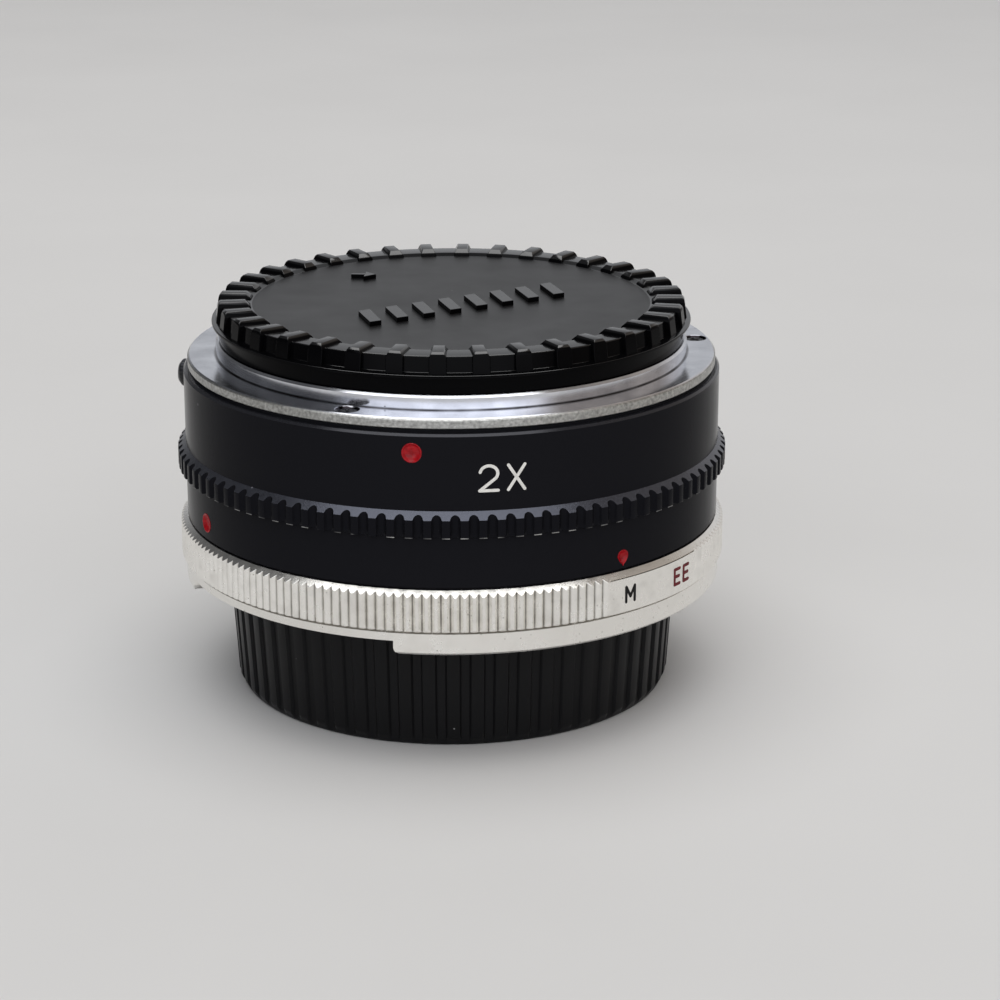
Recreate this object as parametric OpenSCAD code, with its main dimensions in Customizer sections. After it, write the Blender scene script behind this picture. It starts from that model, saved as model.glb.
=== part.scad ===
// Two-times teleconverter for a three-lug bayonet camera mount, standing on its rear cap.
// Millimetres. +Z is the optical axis and points to the front, where a lens goes on.
// The origin is the centre of the face that the rear cap stands on.
// Azimuths are degrees about +Z, counted from +X.

/* [Bayonet] */
// Inner diameter of the mount between its lugs
throat_d = 47; // [44:0.1:50]
// How far a lug reaches under the lug that it locks behind
lug_reach = 0.85; // [0.6:0.05:1.1]
// Thickness of a female lug
lug_t = 1.4; // [1:0.05:1.8]
// Width of a lug in degrees
lug_angle = 52; // [40:1:56]
// Radial width of the raised seat ring
seat_w = 3.7; // [3.5:0.1:4.5]
// Height of the raised seat ring over the flange
seat_h = 1.6; // [1.4:0.05:2]

/* [Front mount] */
// Radial width of the flange outside the seat ring
flange_w = 3.3; // [3.1:0.1:4.5]
// Thickness of the flange
flange_t = 1.3; // [1.1:0.05:2]
// Azimuth of the first flange screw
flange_screw_az = 7; // [0:1:30]
// Head diameter of the flange screws
screw_head_d = 2.8; // [2.2:0.1:3]
// Shank diameter of the screws
screw_d = 1.6; // [1.2:0.1:1.8]

/* [Barrel] */
// Width of the barrel rim that shows outside the flange
rim_w = 0.5; // [0.4:0.05:1.2]
// Height of the black barrel wall
barrel_h = 17.4; // [17:0.1:24]
// Thickness of the barrel wall
barrel_wall = 2.4; // [2:0.1:2.8]
// Thickness of the shelf that carries the lens cell
shelf_t = 2; // [1.5:0.1:2.5]
// Diameter of the red index dots
dot_d = 2.2; // [1.6:0.1:2.6]

/* [Grip band] */
// How far the grip band stands out from the barrel
grip_step = 0.9; // [0.5:0.05:1.2]
// Height of the grip band
grip_h = 2.9; // [2:0.1:4]
// Height of the band's lower edge over the shoulder of the barrel
grip_up = 6; // [5:0.1:7]
// Number of flutes round the band
grip_flutes = 100; // [60:1:120]
// Depth of a flute
flute_depth = 0.55; // [0.3:0.05:0.7]

/* [Mode ring] */
// How far the ring stands out from the barrel
ring_step = 0.8; // [0.6:0.05:1.2]
// Height of the ring
ring_h = 4.65; // [4.5:0.05:6]
// Number of knurl teeth in a full turn
knurl_count = 192; // [120:2:200]
// Depth of the knurl
knurl_depth = 0.4; // [0.2:0.05:0.45]
// Turn between the two settings in degrees
ring_turn = 16; // [12:1:18]
// Travel of the mode pin between the two settings
mode_pin_travel = 1.2; // [0.8:0.05:1.3]

/* [Rear mount] */
// Thickness of the rear mount plate
rear_plate_t = 1.55; // [1.4:0.05:2.2]
// How far the skirt stands out from the barrel
skirt_step = 0.3; // [0:0.05:0.5]
// How far the skirt hangs below the rear seat
skirt_drop = 1.13; // [0.9:0.01:1.4]
// Height of the skirt's cut-out
notch_h = 1.53; // [1:0.01:1.6]

/* [Rear cap] */
// Height of the rear cap
rear_cap_h = 14.15; // [13.5:0.05:18]
// Wall thickness of the rear cap at its rim
rear_cap_wall = 1.4; // [1:0.05:1.5]
// Height of a rib on the wall
rib_h = 0.35; // [0.2:0.05:0.5]
// Number of ribs
rib_count = 60; // [40:1:66]
// How much the wall draws in from rim to foot
rear_cap_draft = 0.9; // [0.3:0.05:1]

/* [Front cap] */
// Height of the front cap over the seat, up to the rim between the teeth
front_cap_h = 4.2; // [4:0.05:5.5]
// Depth of the flat disc below the rim
disc_recess = 0.3; // [0.2:0.05:0.9]
// Height of a tooth over the rim
tooth_h = 0.5; // [0.4:0.05:0.9]
// Width of a tooth
tooth_w = 1.9; // [1.6:0.1:2.8]
// Number of teeth
tooth_count = 36; // [24:1:40]

/* [Optics] */
// Wall of the lens cell round the glass, which fills the rest
cell_wall = 2.2; // [1.6:0.1:2.8]
// Width of the lens cell's flange outside its tube
cell_flange_w = 3.2; // [3:0.1:3.6]
// Height of the lens cell
cell_h = 20; // [19.6:0.1:20.2]

/* [Transfer rings] */
// Thickness of a transfer ring
transfer_t = 1.2; // [0.8:0.1:1.3]
// Width of a transfer lever
lever_w = 3; // [2:0.1:4]
// Turn of the stop-down ring in degrees
stop_down_turn = 25; // [15:1:30]
// Turn of the meter ring in degrees
meter_turn = 40; // [20:1:45]

/* [Lens release] */
// Diameter of the release knob
knob_d = 3; // [2.6:0.1:4]
// How far the knob stands out from the barrel
knob_proud = 1.3; // [0.8:0.1:2]
// Diameter of the lock pin
lock_pin_d = 1.2; // [0.8:0.05:1.3]
// How far the lock pin stands out of the seat, and how far the knob pulls it back
lock_travel = 1; // [0.6:0.05:1.2]

/* [Hidden] */
$fn = 128;

// Clearances, the usual chamfer, how deep joined solids run into each other, and how far cuts run out
play = 0.05;
run_gap = 0.1;
free_gap = 0.3;
edge = 0.25;
bite = 0.3;
over = 1;

// Radii of the bayonet, from the throat outwards
throat_r = throat_d / 2;
tube_r = throat_r - run_gap;
tube_wall = 1.5;
tube_in_r = tube_r - tube_wall;
lug_r = throat_r + lug_reach;
pocket_r = lug_r + 0.15;
seat_r = throat_r + seat_w;
flange_r = seat_r + flange_w;
barrel_r = flange_r + rim_w;
flange_screw_r = (seat_r + flange_r - edge) / 2;
flange_screw_l = flange_t + 3;

// Radii of the barrel
wall_r = barrel_r - barrel_wall;
land_r = seat_r + 0.3;
land_out_r = flange_r - 0.3;
sleeve_r = barrel_r - 2.2;
sleeve_bore_r = throat_r + 0.5;
ring_r = barrel_r + ring_step;
ring_bore_r = sleeve_r + play;
knurl_root_r = ring_r - knurl_depth;
ring_limit_r = barrel_r + 2 * ring_step;
ring_foot_chamfer = 0.2;
ring_top_chamfer = 0.6;
grip_r = barrel_r + grip_step;
grip_seat_r = barrel_r - 0.7;
grip_chamfer = 0.8;
ridge_share = 0.42;
ridge_phase = 0.436;

// Heights, from the foot up
rear_seat_z = rear_cap_h + play;
skirt_z = rear_seat_z - skirt_drop;
sleeve_z = rear_seat_z + rear_plate_t;
ring_z = sleeve_z + play;
shoulder_z = ring_z + ring_h + play;
grip_z = shoulder_z + grip_up;
rim_z = shoulder_z + barrel_h;
flange_z = rim_z + 0.3;
flange_top_z = flange_z + flange_t;
seat_z = flange_top_z + seat_h;
shelf_z = shoulder_z + 3.5;
shelf_top_z = shelf_z + shelf_t;
land_z = flange_z - 4.2;

// Male lugs, counted from the seat that they hang below
male_lug_t = lug_t - play;
male_lug_drop = lug_t + 2 * play;
male_tube_drop = male_lug_drop + male_lug_t + free_gap;
lug_azimuths = [30, 150, 270];
leaf_t = 0.3;
leaf_inset = 0.25;
leaf_turn = [-22, 12];

// Rear mount and skirt
rear_hub_r = seat_r - 0.3;
rear_rim_r = sleeve_r - 0.2;
rear_rim_t = rear_plate_t - 0.6;
skirt_r = barrel_r + skirt_step;
lip_r = rear_hub_r + run_gap;
band_r = rear_rim_r + run_gap;
rear_screw_r = throat_r + 1.9;
rear_screw_azimuths = [45, 135, 225, 315];
rear_screw_l = rear_plate_t + 2.6;
notch_az = [198, 258];
notch_round = 0.8;

// Mode pin, its stud and its cam groove in the ring
mode_pin_d = 1.5;
mode_pin_r = sleeve_r - 1.4;
mode_pin_az = 90;
stud_d = 1.2;
pin_over = 0.8;
stud_z = ring_z + 3.2;
stud_r = ring_bore_r + 1.35;
cam_gap = 0.15;
cam_depth_r = stud_r + free_gap;
cam_run = 2 * stud_r * sin(ring_turn / 2);
cam_tilt = atan(mode_pin_travel / cam_run);

// Click spring
click_az = 210;
click_span = 18;
click_z = ring_z + 1.5;
click_h = 1.8;
click_t = 0.25;
click_floor_r = sleeve_r - 1.5;
click_bump_r = 0.9;
click_bump_at_r = click_floor_r + click_bump_r;

// Panel of the mode ring that carries the two settings
panel_az = [-57, -30.5];
panel_drop = 0.12;

// Marks on the barrel
dot_sunk = 0.5;
dot_proud = 0.08;
lens_dot_az = -98;
lens_dot_z = rim_z - 2.05;
body_dot_az = -153.6;
body_dot_z = shoulder_z + 2.15;
mark_az = -53;
mark_z = shoulder_z + 1.45;
mark_w = 1.6;
mark_h = 1.9;

// Transfer levers, which pass through the rear tube
lever_t = 0.8;
lever_gap = 0.7;
flange_gap = 0.4;
lever_out_r = tube_in_r - lever_gap;
lever_in_r = lever_out_r - lever_t;

// Lens cell
cell_flange_r = lever_in_r - flange_gap;
cell_r = cell_flange_r - cell_flange_w;
cell_bore_r = cell_r - cell_wall;
glass_r = cell_bore_r - play;
face_r = glass_r - 1.7;
cell_lip_r = glass_r - 1.4;
cell_flange_t = 1.2;
cell_z = sleeve_z + 0.4;
cell_lip_t = 0.8;
cell_screw_r = (cell_r + cell_flange_r) / 2;
cell_screw_azimuths = [45, 165, 285];
cell_screw_l = cell_flange_t + shelf_t - 0.2;
shelf_r = cell_r + run_gap;
cell_top_z = cell_z + cell_h;
baffle_t = 0.6;
window = [24, 16];

// Glass elements: edge thickness, then the sag of the rear and the front face
rear_edge = 2.2;
rear_sags = [1, 1];
third_edge = 4;
third_sags = [-1.3, -1.3];
second_edge = 1.8;
second_sags = [-0.6, 1.5];
front_edge = 1.7;
front_sags = [-1, 1.3];
rear_spacer_t = 1.8;
middle_spacer_t = 1.2;
front_spacer_t = 1.2;
rear_el_z = cell_z + cell_lip_t;
rear_sp_z = rear_el_z + rear_edge;
third_z = rear_sp_z + rear_spacer_t;
middle_sp_z = third_z + third_edge;
second_z = middle_sp_z + middle_spacer_t;
front_sp_z = second_z + second_edge;
front_el_z = front_sp_z + front_spacer_t;
retainer_z = front_el_z + front_edge;
retainer_h = cell_top_z - retainer_z - free_gap;
retainer_w = 1.6;
spanner_w = 1.2;
spanner_h = 0.7;
spacer_wall = 1;

// Transfer rings and their levers
transfer_r = cell_flange_r;
slot_in_r = lever_in_r - 0.15;
slot_out_r = lever_out_r + 0.4;
stop_ring_z = shelf_top_z + cell_flange_t + run_gap;
meter_ring_z = shelf_z - transfer_t - 0.5;
keeper_t = 0.6;
keeper_r = cell_r + 1.6;
stop_lever_az = 0;
meter_lever_az = 150;
lever_top_z = flange_z - 0.9;
lever_foot_z = rear_seat_z - male_tube_drop - 1.5;
slot_margin = asin(lever_w / 2 / lever_in_r) + 1.5;

// Return springs of the transfer rings
spring_wire_r = 0.13;
spring_r = 0.65;
spring_turns = 9;
hook_pin_r = 0.4;
hook_pin_h = 1.9;
ear_out_r = transfer_r + 2.2;
hook_r = transfer_r + 1.4;
post_r = transfer_r + 2.8;
post_turn = 20;
post_over = 0.6;
ear_angle = 8;
stop_ear_az = 90;
meter_ear_az = 270;
stop_spring_z = stop_ring_z + transfer_t + 1.2;
meter_spring_z = meter_ring_z - 1.2;

// Lens release
release_az = 170;
knob_z = rim_z - 2.8;
knob_shank_d = 1.6;
knob_gap = 0.2;
knob_dome = 0.7;
shank_grip = 1.5;
slide_h = 2.6;
slide_w = 5;
slide_room = 1.4;
slide_z = knob_z - slide_h / 2;
slide_in_r = pocket_r + 0.35;
slide_out_r = wall_r - 0.25;
lock_pin_r = pocket_r + 1.05;
pin_floor = 0.6;
lock_spring_r = 1;
lock_spring_wire = 0.15;
lock_spring_at_r = wall_r - lock_spring_r - 3 * free_gap;
lock_spring_turns = 5;

// Front cap, heights over the seat
cap_z = seat_z + play;
collar_r = seat_r - 0.4;
collar_wall = 0.55;
collar_edge = 0.15;
collar_roof_z = cap_z + lock_travel + 0.45;
brim_r = collar_r + 0.8;
brim_z = cap_z + 1.95;
brim_t = 0.3;
cap_rim_z = seat_z + front_cap_h;
cap_rim_r = collar_r - 0.2;
disc_z = cap_rim_z - disc_recess;
disc_r = throat_r - 0.55;
tooth_out_r = collar_r + 0.35;
cap_plate_t = 1.4;
tooth_slope = 0.33;
tooth_phase = 0.68;
tooth_draft = 0.35;
tooth_edge = 0.25;
tooth_inset = 0.2;
tooth_foot = 0.08;
tooth_root = 0.1;
rim_draft = 0.2;
rim_edge = 0.2;
rim_inner_draft = 0.3;

// Rear cap radii
rear_cap_in_r = lug_r + 0.25;
rear_cap_r = rear_cap_in_r + rear_cap_wall;
rear_cap_foot_r = rear_cap_r - rear_cap_draft;
rear_cap_floor = 1.5;
foot_round = 0.6;
rib_w = 1.6;
rib_z = 1;

// A ring sector from radius r0 to r1 between two azimuths
module sector(r0, r1, a0, a1, h)
    rotate([0, 0, a0])
        rotate_extrude(angle = a1 - a0)
            translate([r0, 0])
                square([r1 - r0, h]);

module ring(r0, r1, h)
    difference() {
        cylinder(r = r1, h = h);
        translate([0, 0, -over])
            cylinder(r = r0, h = h + 2 * over);
    }

// Places its children at an azimuth and radius, with +X outwards
module at(az, r, z)
    rotate([0, 0, az])
        translate([r, 0, z])
            children();

// A cylinder that points outwards
module peg(d, length, fn = 32)
    rotate([0, 90, 0])
        cylinder(d = d, h = length, $fn = fn);

// Countersunk screw, its head's top face at z = 0
module screw(length) {
    head_h = (screw_head_d - screw_d) / 2;
    difference() {
        union() {
            translate([0, 0, -head_h])
                cylinder(d1 = screw_d, d2 = screw_head_d, h = head_h, $fn = 32);
            translate([0, 0, -length])
                cylinder(d = screw_d, h = length - head_h + 0.01, $fn = 32);
        }
        for (turn = [0, 90])
            rotate([0, 0, turn])
                translate([-screw_head_d * 0.3, -0.2, -0.5])
                    cube([screw_head_d * 0.6, 0.4, 1]);
    }
}

// The hole that the screw fills
module screw_hole(length) {
    head_h = (screw_head_d - screw_d) / 2;
    translate([0, 0, -head_h])
        cylinder(d1 = screw_d, d2 = screw_head_d, h = head_h, $fn = 32);
    cylinder(d = screw_head_d, h = 2 * over, $fn = 32);
    translate([0, 0, -length])
        cylinder(d = screw_d, h = length, $fn = 32);
}

// Male bayonet that hangs below a seat at height z: tube and three lugs
module male_bayonet(z, top) {
    translate([0, 0, z - male_tube_drop])
        ring(tube_in_r, tube_r, male_tube_drop + top);
    for (az = lug_azimuths)
        translate([0, 0, z - male_lug_drop - male_lug_t])
            sector(tube_r - bite, lug_r, az - lug_angle / 2, az + lug_angle / 2, male_lug_t);
}

// Female lugs whose top lies at height z, rooted in a wall of radius wall
module female_lugs(z, wall)
    for (az = lug_azimuths)
        translate([0, 0, z - lug_t])
            sector(throat_r, wall + bite, az - lug_angle / 2, az + lug_angle / 2, lug_t);

// Points of a coil along +Z whose wire starts and ends on the axis, as hooks need
function coil_radius(r, t, turns) = r * min(1, t / 0.5, (turns - t) / 0.5);
function coil_ring(r, wire, length, turns, t, sides) =
    [for (s = [0:sides - 1])
        let (rr = coil_radius(r, t, turns) + wire * cos(360 * s / sides) + wire,
             z = length * t / turns + wire * sin(360 * s / sides))
        [rr * cos(360 * t), rr * sin(360 * t), z]];

module coil(r, wire, length, turns, per_turn = 10, sides = 6) {
    steps = turns * per_turn;
    points = [for (i = [0:steps])
        each coil_ring(r, wire, length, turns, i / per_turn, sides)];
    walls = [for (i = [0:steps - 1])
        for (s = [0:sides - 1])
            let (n = (s + 1) % sides,
                 a = i * sides,
                 b = a + sides)
            each [[a + s, a + n, b + n], [a + s, b + n, b + s]]];
    start = [[for (s = [0:sides - 1]) sides - 1 - s]];
    finish = [[for (s = [0:sides - 1]) steps * sides + s]];
    polyhedron(points, concat(walls, start, finish));
}

// Lens with spherical faces inside a flat land. A sag over zero bulges out, one below zero is hollow.
function sphere_r(sag) = (face_r * face_r + sag * sag) / (2 * abs(sag));
function face_height(sag, r) =
    sign(sag) * (sqrt(pow(sphere_r(sag), 2) - r * r) - sphere_r(sag) + abs(sag));

module lens(edge_t, sags, steps = 12) {
    radii = [for (i = [0:steps]) face_r * i / steps];
    rotate_extrude()
        polygon(concat([for (i = [0:steps]) [radii[i], -face_height(sags[0], radii[i])]],
                       [[glass_r, 0], [glass_r, edge_t]],
                       [for (i = [steps:-1:0]) [radii[i], edge_t + face_height(sags[1], radii[i])]]));
}

module barrel()
    color("#1c1c1e")
        difference() {
            union() {
                rotate_extrude()
                    polygon([[sleeve_bore_r, sleeve_z], [sleeve_r, sleeve_z], [sleeve_r, shoulder_z],
                             [barrel_r - edge, shoulder_z], [barrel_r, shoulder_z + edge],
                             [barrel_r, grip_z], [grip_seat_r, grip_z], [grip_seat_r, grip_z + grip_h],
                             [barrel_r, grip_z + grip_h], [barrel_r, rim_z - edge],
                             [barrel_r - edge, rim_z], [land_out_r, rim_z], [land_out_r, flange_z],
                             [land_r, flange_z], [land_r, land_z],
                             [wall_r, land_z - (wall_r - land_r)],
                             [wall_r, shelf_top_z], [shelf_r, shelf_top_z], [shelf_r, shelf_z],
                             [sleeve_bore_r, shelf_z]]);
                at(stop_ear_az - post_turn, post_r, shelf_top_z - bite)
                    cylinder(r = hook_pin_r, h = stop_spring_z + post_over - shelf_top_z + bite, $fn = 24);
                at(meter_ear_az - post_turn, post_r, meter_spring_z - post_over)
                    cylinder(r = hook_pin_r, h = shelf_z - meter_spring_z + post_over + bite, $fn = 24);
            }
            index_seats();
            for (i = [0:2])
                at(flange_screw_az + 120 * i, flange_screw_r, flange_top_z)
                    screw_hole(flange_screw_l);
            for (az = rear_screw_azimuths)
                at(az, rear_screw_r, rear_seat_z)
                    mirror([0, 0, 1])
                        screw_hole(rear_screw_l);
            for (az = cell_screw_azimuths)
                at(az, cell_screw_r, shelf_top_z + cell_flange_t)
                    screw_hole(cell_screw_l);
            release_cut();
            lever_slot(stop_lever_az, stop_down_turn);
            lever_slot(meter_lever_az, meter_turn);
            mode_pin_cut();
            translate([0, 0, click_z - run_gap])
                sector(click_floor_r, sleeve_r + over, click_az - click_span / 2 - 0.5,
                       click_az + click_span / 2 + 0.5, click_h + 2 * run_gap);
        }

// Arc slot in the shelf that a transfer lever sweeps
module lever_slot(az, turn)
    translate([0, 0, shelf_z - over])
        sector(slot_in_r, slot_out_r, az - slot_margin, az + turn + slot_margin, shelf_t + 2 * over);

// Slot for the knob's shank, and the pocket that the lock slide runs in
module release_cut() {
    slot_w = knob_shank_d + 2 * play;
    for (z = [knob_z - lock_travel - play, knob_z + play])
        at(release_az, wall_r - over, z)
            peg(slot_w, barrel_wall + 2 * over);
    at(release_az, wall_r - over, knob_z - lock_travel - play)
        translate([0, -slot_w / 2, 0])
            cube([barrel_wall + 2 * over, slot_w, lock_travel + 2 * play]);
    at(release_az, land_r - over, slide_z - lock_travel - slide_room)
        translate([0, -slide_w / 2 - run_gap, 0])
            cube([wall_r - land_r + over, slide_w + 2 * run_gap, slide_h + lock_travel + 2 * slide_room]);
}

module mode_pin_cut() {
    slot_h = mode_pin_travel + stud_d + 2 * cam_gap;
    at(mode_pin_az, mode_pin_r, sleeve_z - over)
        cylinder(d = mode_pin_d + 2 * play, h = stud_z + pin_over + run_gap + over - sleeve_z, $fn = 48);
    at(mode_pin_az, mode_pin_r, stud_z - mode_pin_travel / 2 - slot_h / 2)
        translate([0, -stud_d / 2 - play, 0])
            cube([sleeve_r - mode_pin_r + over, stud_d + 2 * play, slot_h]);
}

module index_seats() {
    at(lens_dot_az, barrel_r - dot_sunk, lens_dot_z)
        peg(dot_d, 2);
    at(body_dot_az, barrel_r - dot_sunk, body_dot_z)
        peg(dot_d, 2);
    at(mark_az, barrel_r - dot_sunk, mark_z)
        mark_prism(2);
}

// Outline of the mode index: a drop with its point downwards
module mark_prism(depth)
    rotate([90, 0, 90])
        linear_extrude(depth)
            polygon([[0, -mark_h / 2], [mark_w / 2, mark_h * 0.1], [mark_w * 0.36, mark_h * 0.38],
                     [0, mark_h / 2], [-mark_w * 0.36, mark_h * 0.38], [-mark_w / 2, mark_h * 0.1]]);

// Outline of the band: flat ridges with round-bottomed flutes between them
module fluted_outline(steps = 6) {
    pitch = 360 / grip_flutes;
    polygon([for (i = [0:grip_flutes - 1])
        each [for (s = [-1:steps])
            let (t = max(0, s) / (steps + 1),
                 share = s < 0 ? 0 : ridge_share + (1 - ridge_share) * t,
                 a = pitch * (i + ridge_phase + share),
                 r = grip_r - flute_depth * sqrt(sin(180 * t)))
            [r * cos(a), r * sin(a)]]]);
}

module grip_band()
    color("#1a1a1b")
        translate([0, 0, grip_z])
            intersection() {
                linear_extrude(grip_h)
                    difference() {
                        fluted_outline();
                        circle(r = grip_seat_r);
                    }
                cylinder(r1 = barrel_r + grip_step * grip_h / grip_chamfer, r2 = barrel_r, h = grip_h);
            }

module lens_index_dot()
    color("#a8262e")
        at(lens_dot_az, barrel_r - dot_sunk, lens_dot_z)
            peg(dot_d, dot_sunk + dot_proud);

module body_index_dot()
    color("#a8262e")
        at(body_dot_az, barrel_r - dot_sunk, body_dot_z)
            peg(dot_d, dot_sunk + dot_proud);

module mode_index_mark()
    color("#a8262e")
        at(mark_az, barrel_r - dot_sunk, mark_z)
            mark_prism(dot_sunk + dot_proud);

module front_mount()
    color("#c9cacc")
        difference() {
            union() {
                rotate_extrude()
                    polygon([[pocket_r, flange_z], [flange_r - edge, flange_z],
                             [flange_r, flange_z + edge], [flange_r, flange_top_z - edge],
                             [flange_r - edge, flange_top_z], [seat_r, flange_top_z],
                             [seat_r, seat_z - edge], [seat_r - edge, seat_z], [pocket_r, seat_z]]);
                female_lugs(seat_z, pocket_r);
            }
            for (i = [0:2])
                at(flange_screw_az + 120 * i, flange_screw_r, flange_top_z)
                    screw_hole(flange_screw_l);
            at(release_az, lock_pin_r, flange_z - over)
                cylinder(d = lock_pin_d + 2 * play, h = flange_t + seat_h + 2 * over, $fn = 32);
        }

module front_mount_screws()
    color("#8d8e90")
        for (i = [0:2])
            at(flange_screw_az + 120 * i, flange_screw_r, flange_top_z)
                screw(flange_screw_l);

// Leaf springs under the flange that press a mounted lens up against the lugs
module bayonet_springs()
    color("#9a9b98")
        for (az = lug_azimuths)
            translate([0, 0, flange_z - leaf_t])
                sector(throat_r + leaf_inset, seat_r - leaf_inset, az + leaf_turn[0],
                       az + leaf_turn[1], leaf_t);

module rear_skirt()
    color("#c3c1bb")
        difference() {
            rotate_extrude()
                polygon([[lip_r, rear_seat_z + rear_rim_t], [band_r, rear_seat_z + rear_rim_t],
                         [band_r, skirt_z], [skirt_r - edge, skirt_z], [skirt_r, skirt_z + edge],
                         [skirt_r, sleeve_z - edge], [skirt_r - edge, sleeve_z], [lip_r, sleeve_z]]);
            skirt_notch();
            at(mode_pin_az, mode_pin_r, rear_seat_z)
                cylinder(d = mode_pin_d + 2 * run_gap, h = rear_plate_t + over, $fn = 32);
        }

// Shallow stretch of the skirt. The ends of the deep stretch are rounded at their lower corners.
module skirt_notch() {
    round_angle = notch_round / skirt_r * 180 / PI;
    translate([0, 0, skirt_z - over])
        sector(band_r - over, skirt_r + over, notch_az[0], notch_az[1], notch_h + over);
    for (side = [0, 1])
        difference() {
            translate([0, 0, skirt_z - over])
                sector(band_r - over, skirt_r + over, notch_az[side] - round_angle * (1 - side) - 0.2 * side,
                       notch_az[side] + round_angle * side + 0.2 * (1 - side), notch_round + over);
            at(notch_az[side] + round_angle * (2 * side - 1), band_r - 2 * over, skirt_z + notch_round)
                peg(2 * notch_round, skirt_r - band_r + 4 * over);
        }
}

module rear_mount()
    color("#c9cacc")
        difference() {
            union() {
                rotate_extrude()
                    polygon([[tube_in_r, rear_seat_z], [rear_rim_r, rear_seat_z],
                             [rear_rim_r, rear_seat_z + rear_rim_t],
                             [rear_hub_r, rear_seat_z + rear_rim_t], [rear_hub_r, sleeve_z],
                             [tube_in_r, sleeve_z]]);
                male_bayonet(rear_seat_z, play);
            }
            for (az = rear_screw_azimuths)
                at(az, rear_screw_r, rear_seat_z)
                    mirror([0, 0, 1])
                        screw_hole(rear_screw_l);
            at(mode_pin_az, mode_pin_r, rear_seat_z - over)
                cylinder(d = mode_pin_d + 2 * run_gap, h = rear_plate_t + 2 * over, $fn = 32);
        }

module rear_mount_screws()
    color("#8d8e90")
        for (az = rear_screw_azimuths)
            at(az, rear_screw_r, rear_seat_z)
                mirror([0, 0, 1])
                    screw(rear_screw_l);

// Strip spring in the sleeve whose bump drops into the notches of the mode ring
module click_spring()
    color("#9a9b98")
        translate([0, 0, click_z]) {
            sector(click_floor_r, click_floor_r + click_t, click_az - click_span / 2,
                   click_az + click_span / 2, click_h);
            at(click_az, click_bump_at_r, 0)
                cylinder(r = click_bump_r, h = click_h, $fn = 48);
        }

module lens_cell()
    color("#202022")
        difference() {
            rotate_extrude()
                polygon([[cell_lip_r, cell_z], [cell_r, cell_z], [cell_r, shelf_top_z],
                         [cell_flange_r, shelf_top_z], [cell_flange_r, shelf_top_z + cell_flange_t],
                         [cell_r, shelf_top_z + cell_flange_t], [cell_r, cell_top_z],
                         [cell_bore_r, cell_top_z], [cell_bore_r, cell_z + cell_lip_t],
                         [cell_lip_r, cell_z + cell_lip_t]]);
            for (az = cell_screw_azimuths)
                at(az, cell_screw_r, shelf_top_z + cell_flange_t)
                    screw_hole(cell_screw_l);
        }

module cell_screws()
    color("#8d8e90")
        for (az = cell_screw_azimuths)
            at(az, cell_screw_r, shelf_top_z + cell_flange_t)
                screw(cell_screw_l);

module rear_element()
    color("#7c8fa6")
        translate([0, 0, rear_el_z])
            lens(rear_edge, rear_sags);

module third_element()
    color("#7c8fa6")
        translate([0, 0, third_z])
            lens(third_edge, third_sags);

module second_element()
    color("#7c8fa6")
        translate([0, 0, second_z])
            lens(second_edge, second_sags);

module front_element()
    color("#7c8fa6")
        translate([0, 0, front_el_z])
            lens(front_edge, front_sags);

module spacer(z, t)
    color("#26262a")
        translate([0, 0, z])
            ring(glass_r - spacer_wall, glass_r, t);

module rear_spacer()
    spacer(rear_sp_z, rear_spacer_t);

module middle_spacer()
    spacer(middle_sp_z, middle_spacer_t);

module front_spacer()
    spacer(front_sp_z, front_spacer_t);

// Ring that closes the cell over the front element, with two spanner slots
module retaining_ring()
    color("#202022")
        translate([0, 0, retainer_z])
            difference() {
                ring(glass_r - retainer_w, glass_r, retainer_h);
                translate([-cell_r, -spanner_w / 2, retainer_h - spanner_h])
                    cube([2 * cell_r, spanner_w, 2 * spanner_h]);
            }

// Plate under the cell with a window in the shape of the film frame
module light_baffle()
    color("#161617")
        translate([0, 0, cell_z - baffle_t])
            difference() {
                cylinder(r = cell_r - free_gap, h = baffle_t);
                cube([window[0], window[1], 3 * baffle_t], center = true);
            }

// Ring on the lens cell with one lever that reaches out at the front and at the rear
module transfer_ring(z, lever_az, ear_az, pin_up) {
    translate([0, 0, z])
        ring(cell_r + play, transfer_r, transfer_t);
    at(lever_az, lever_in_r, lever_foot_z)
        translate([0, -lever_w / 2, 0])
            cube([lever_t, lever_w, lever_top_z - lever_foot_z]);
    at(lever_az, transfer_r - bite - 0.3, z)
        translate([0, -lever_w / 2, 0])
            cube([lever_in_r - transfer_r + 2 * bite + 0.3, lever_w, transfer_t]);
    translate([0, 0, z])
        sector(transfer_r - bite, ear_out_r, ear_az - ear_angle / 2, ear_az + ear_angle / 2, transfer_t);
    at(ear_az, hook_r, pin_up ? z + transfer_t - bite : z - hook_pin_h)
        cylinder(r = hook_pin_r, h = hook_pin_h + bite, $fn = 24);
}

module stop_down_ring()
    color("#b0a070")
        transfer_ring(stop_ring_z, stop_lever_az, stop_ear_az, true);

module meter_ring()
    color("#b0a070")
        transfer_ring(meter_ring_z, meter_lever_az, meter_ear_az, false);

module stop_down_keeper()
    color("#202022")
        translate([0, 0, stop_ring_z + transfer_t + run_gap])
            ring(cell_r, keeper_r, keeper_t);

module meter_keeper()
    color("#202022")
        translate([0, 0, meter_ring_z - run_gap - keeper_t])
            ring(cell_r, keeper_r, keeper_t);

// Extension spring between a ring's hook pin and a post on the shelf
module return_spring(ear_az, z) {
    start = [hook_r, 0];
    end = [post_r * cos(post_turn), -post_r * sin(post_turn)];
    inset = hook_pin_r + play;
    bearing = atan2(end[1] - start[1], end[0] - start[0]);
    rotate([0, 0, ear_az])
        translate([start[0], start[1], z])
            rotate([0, 0, bearing])
                translate([inset, 0, 0])
                    rotate([0, 90, 0])
                        coil(spring_r, spring_wire_r, norm(end - start) - 2 * inset, spring_turns);
}

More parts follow.
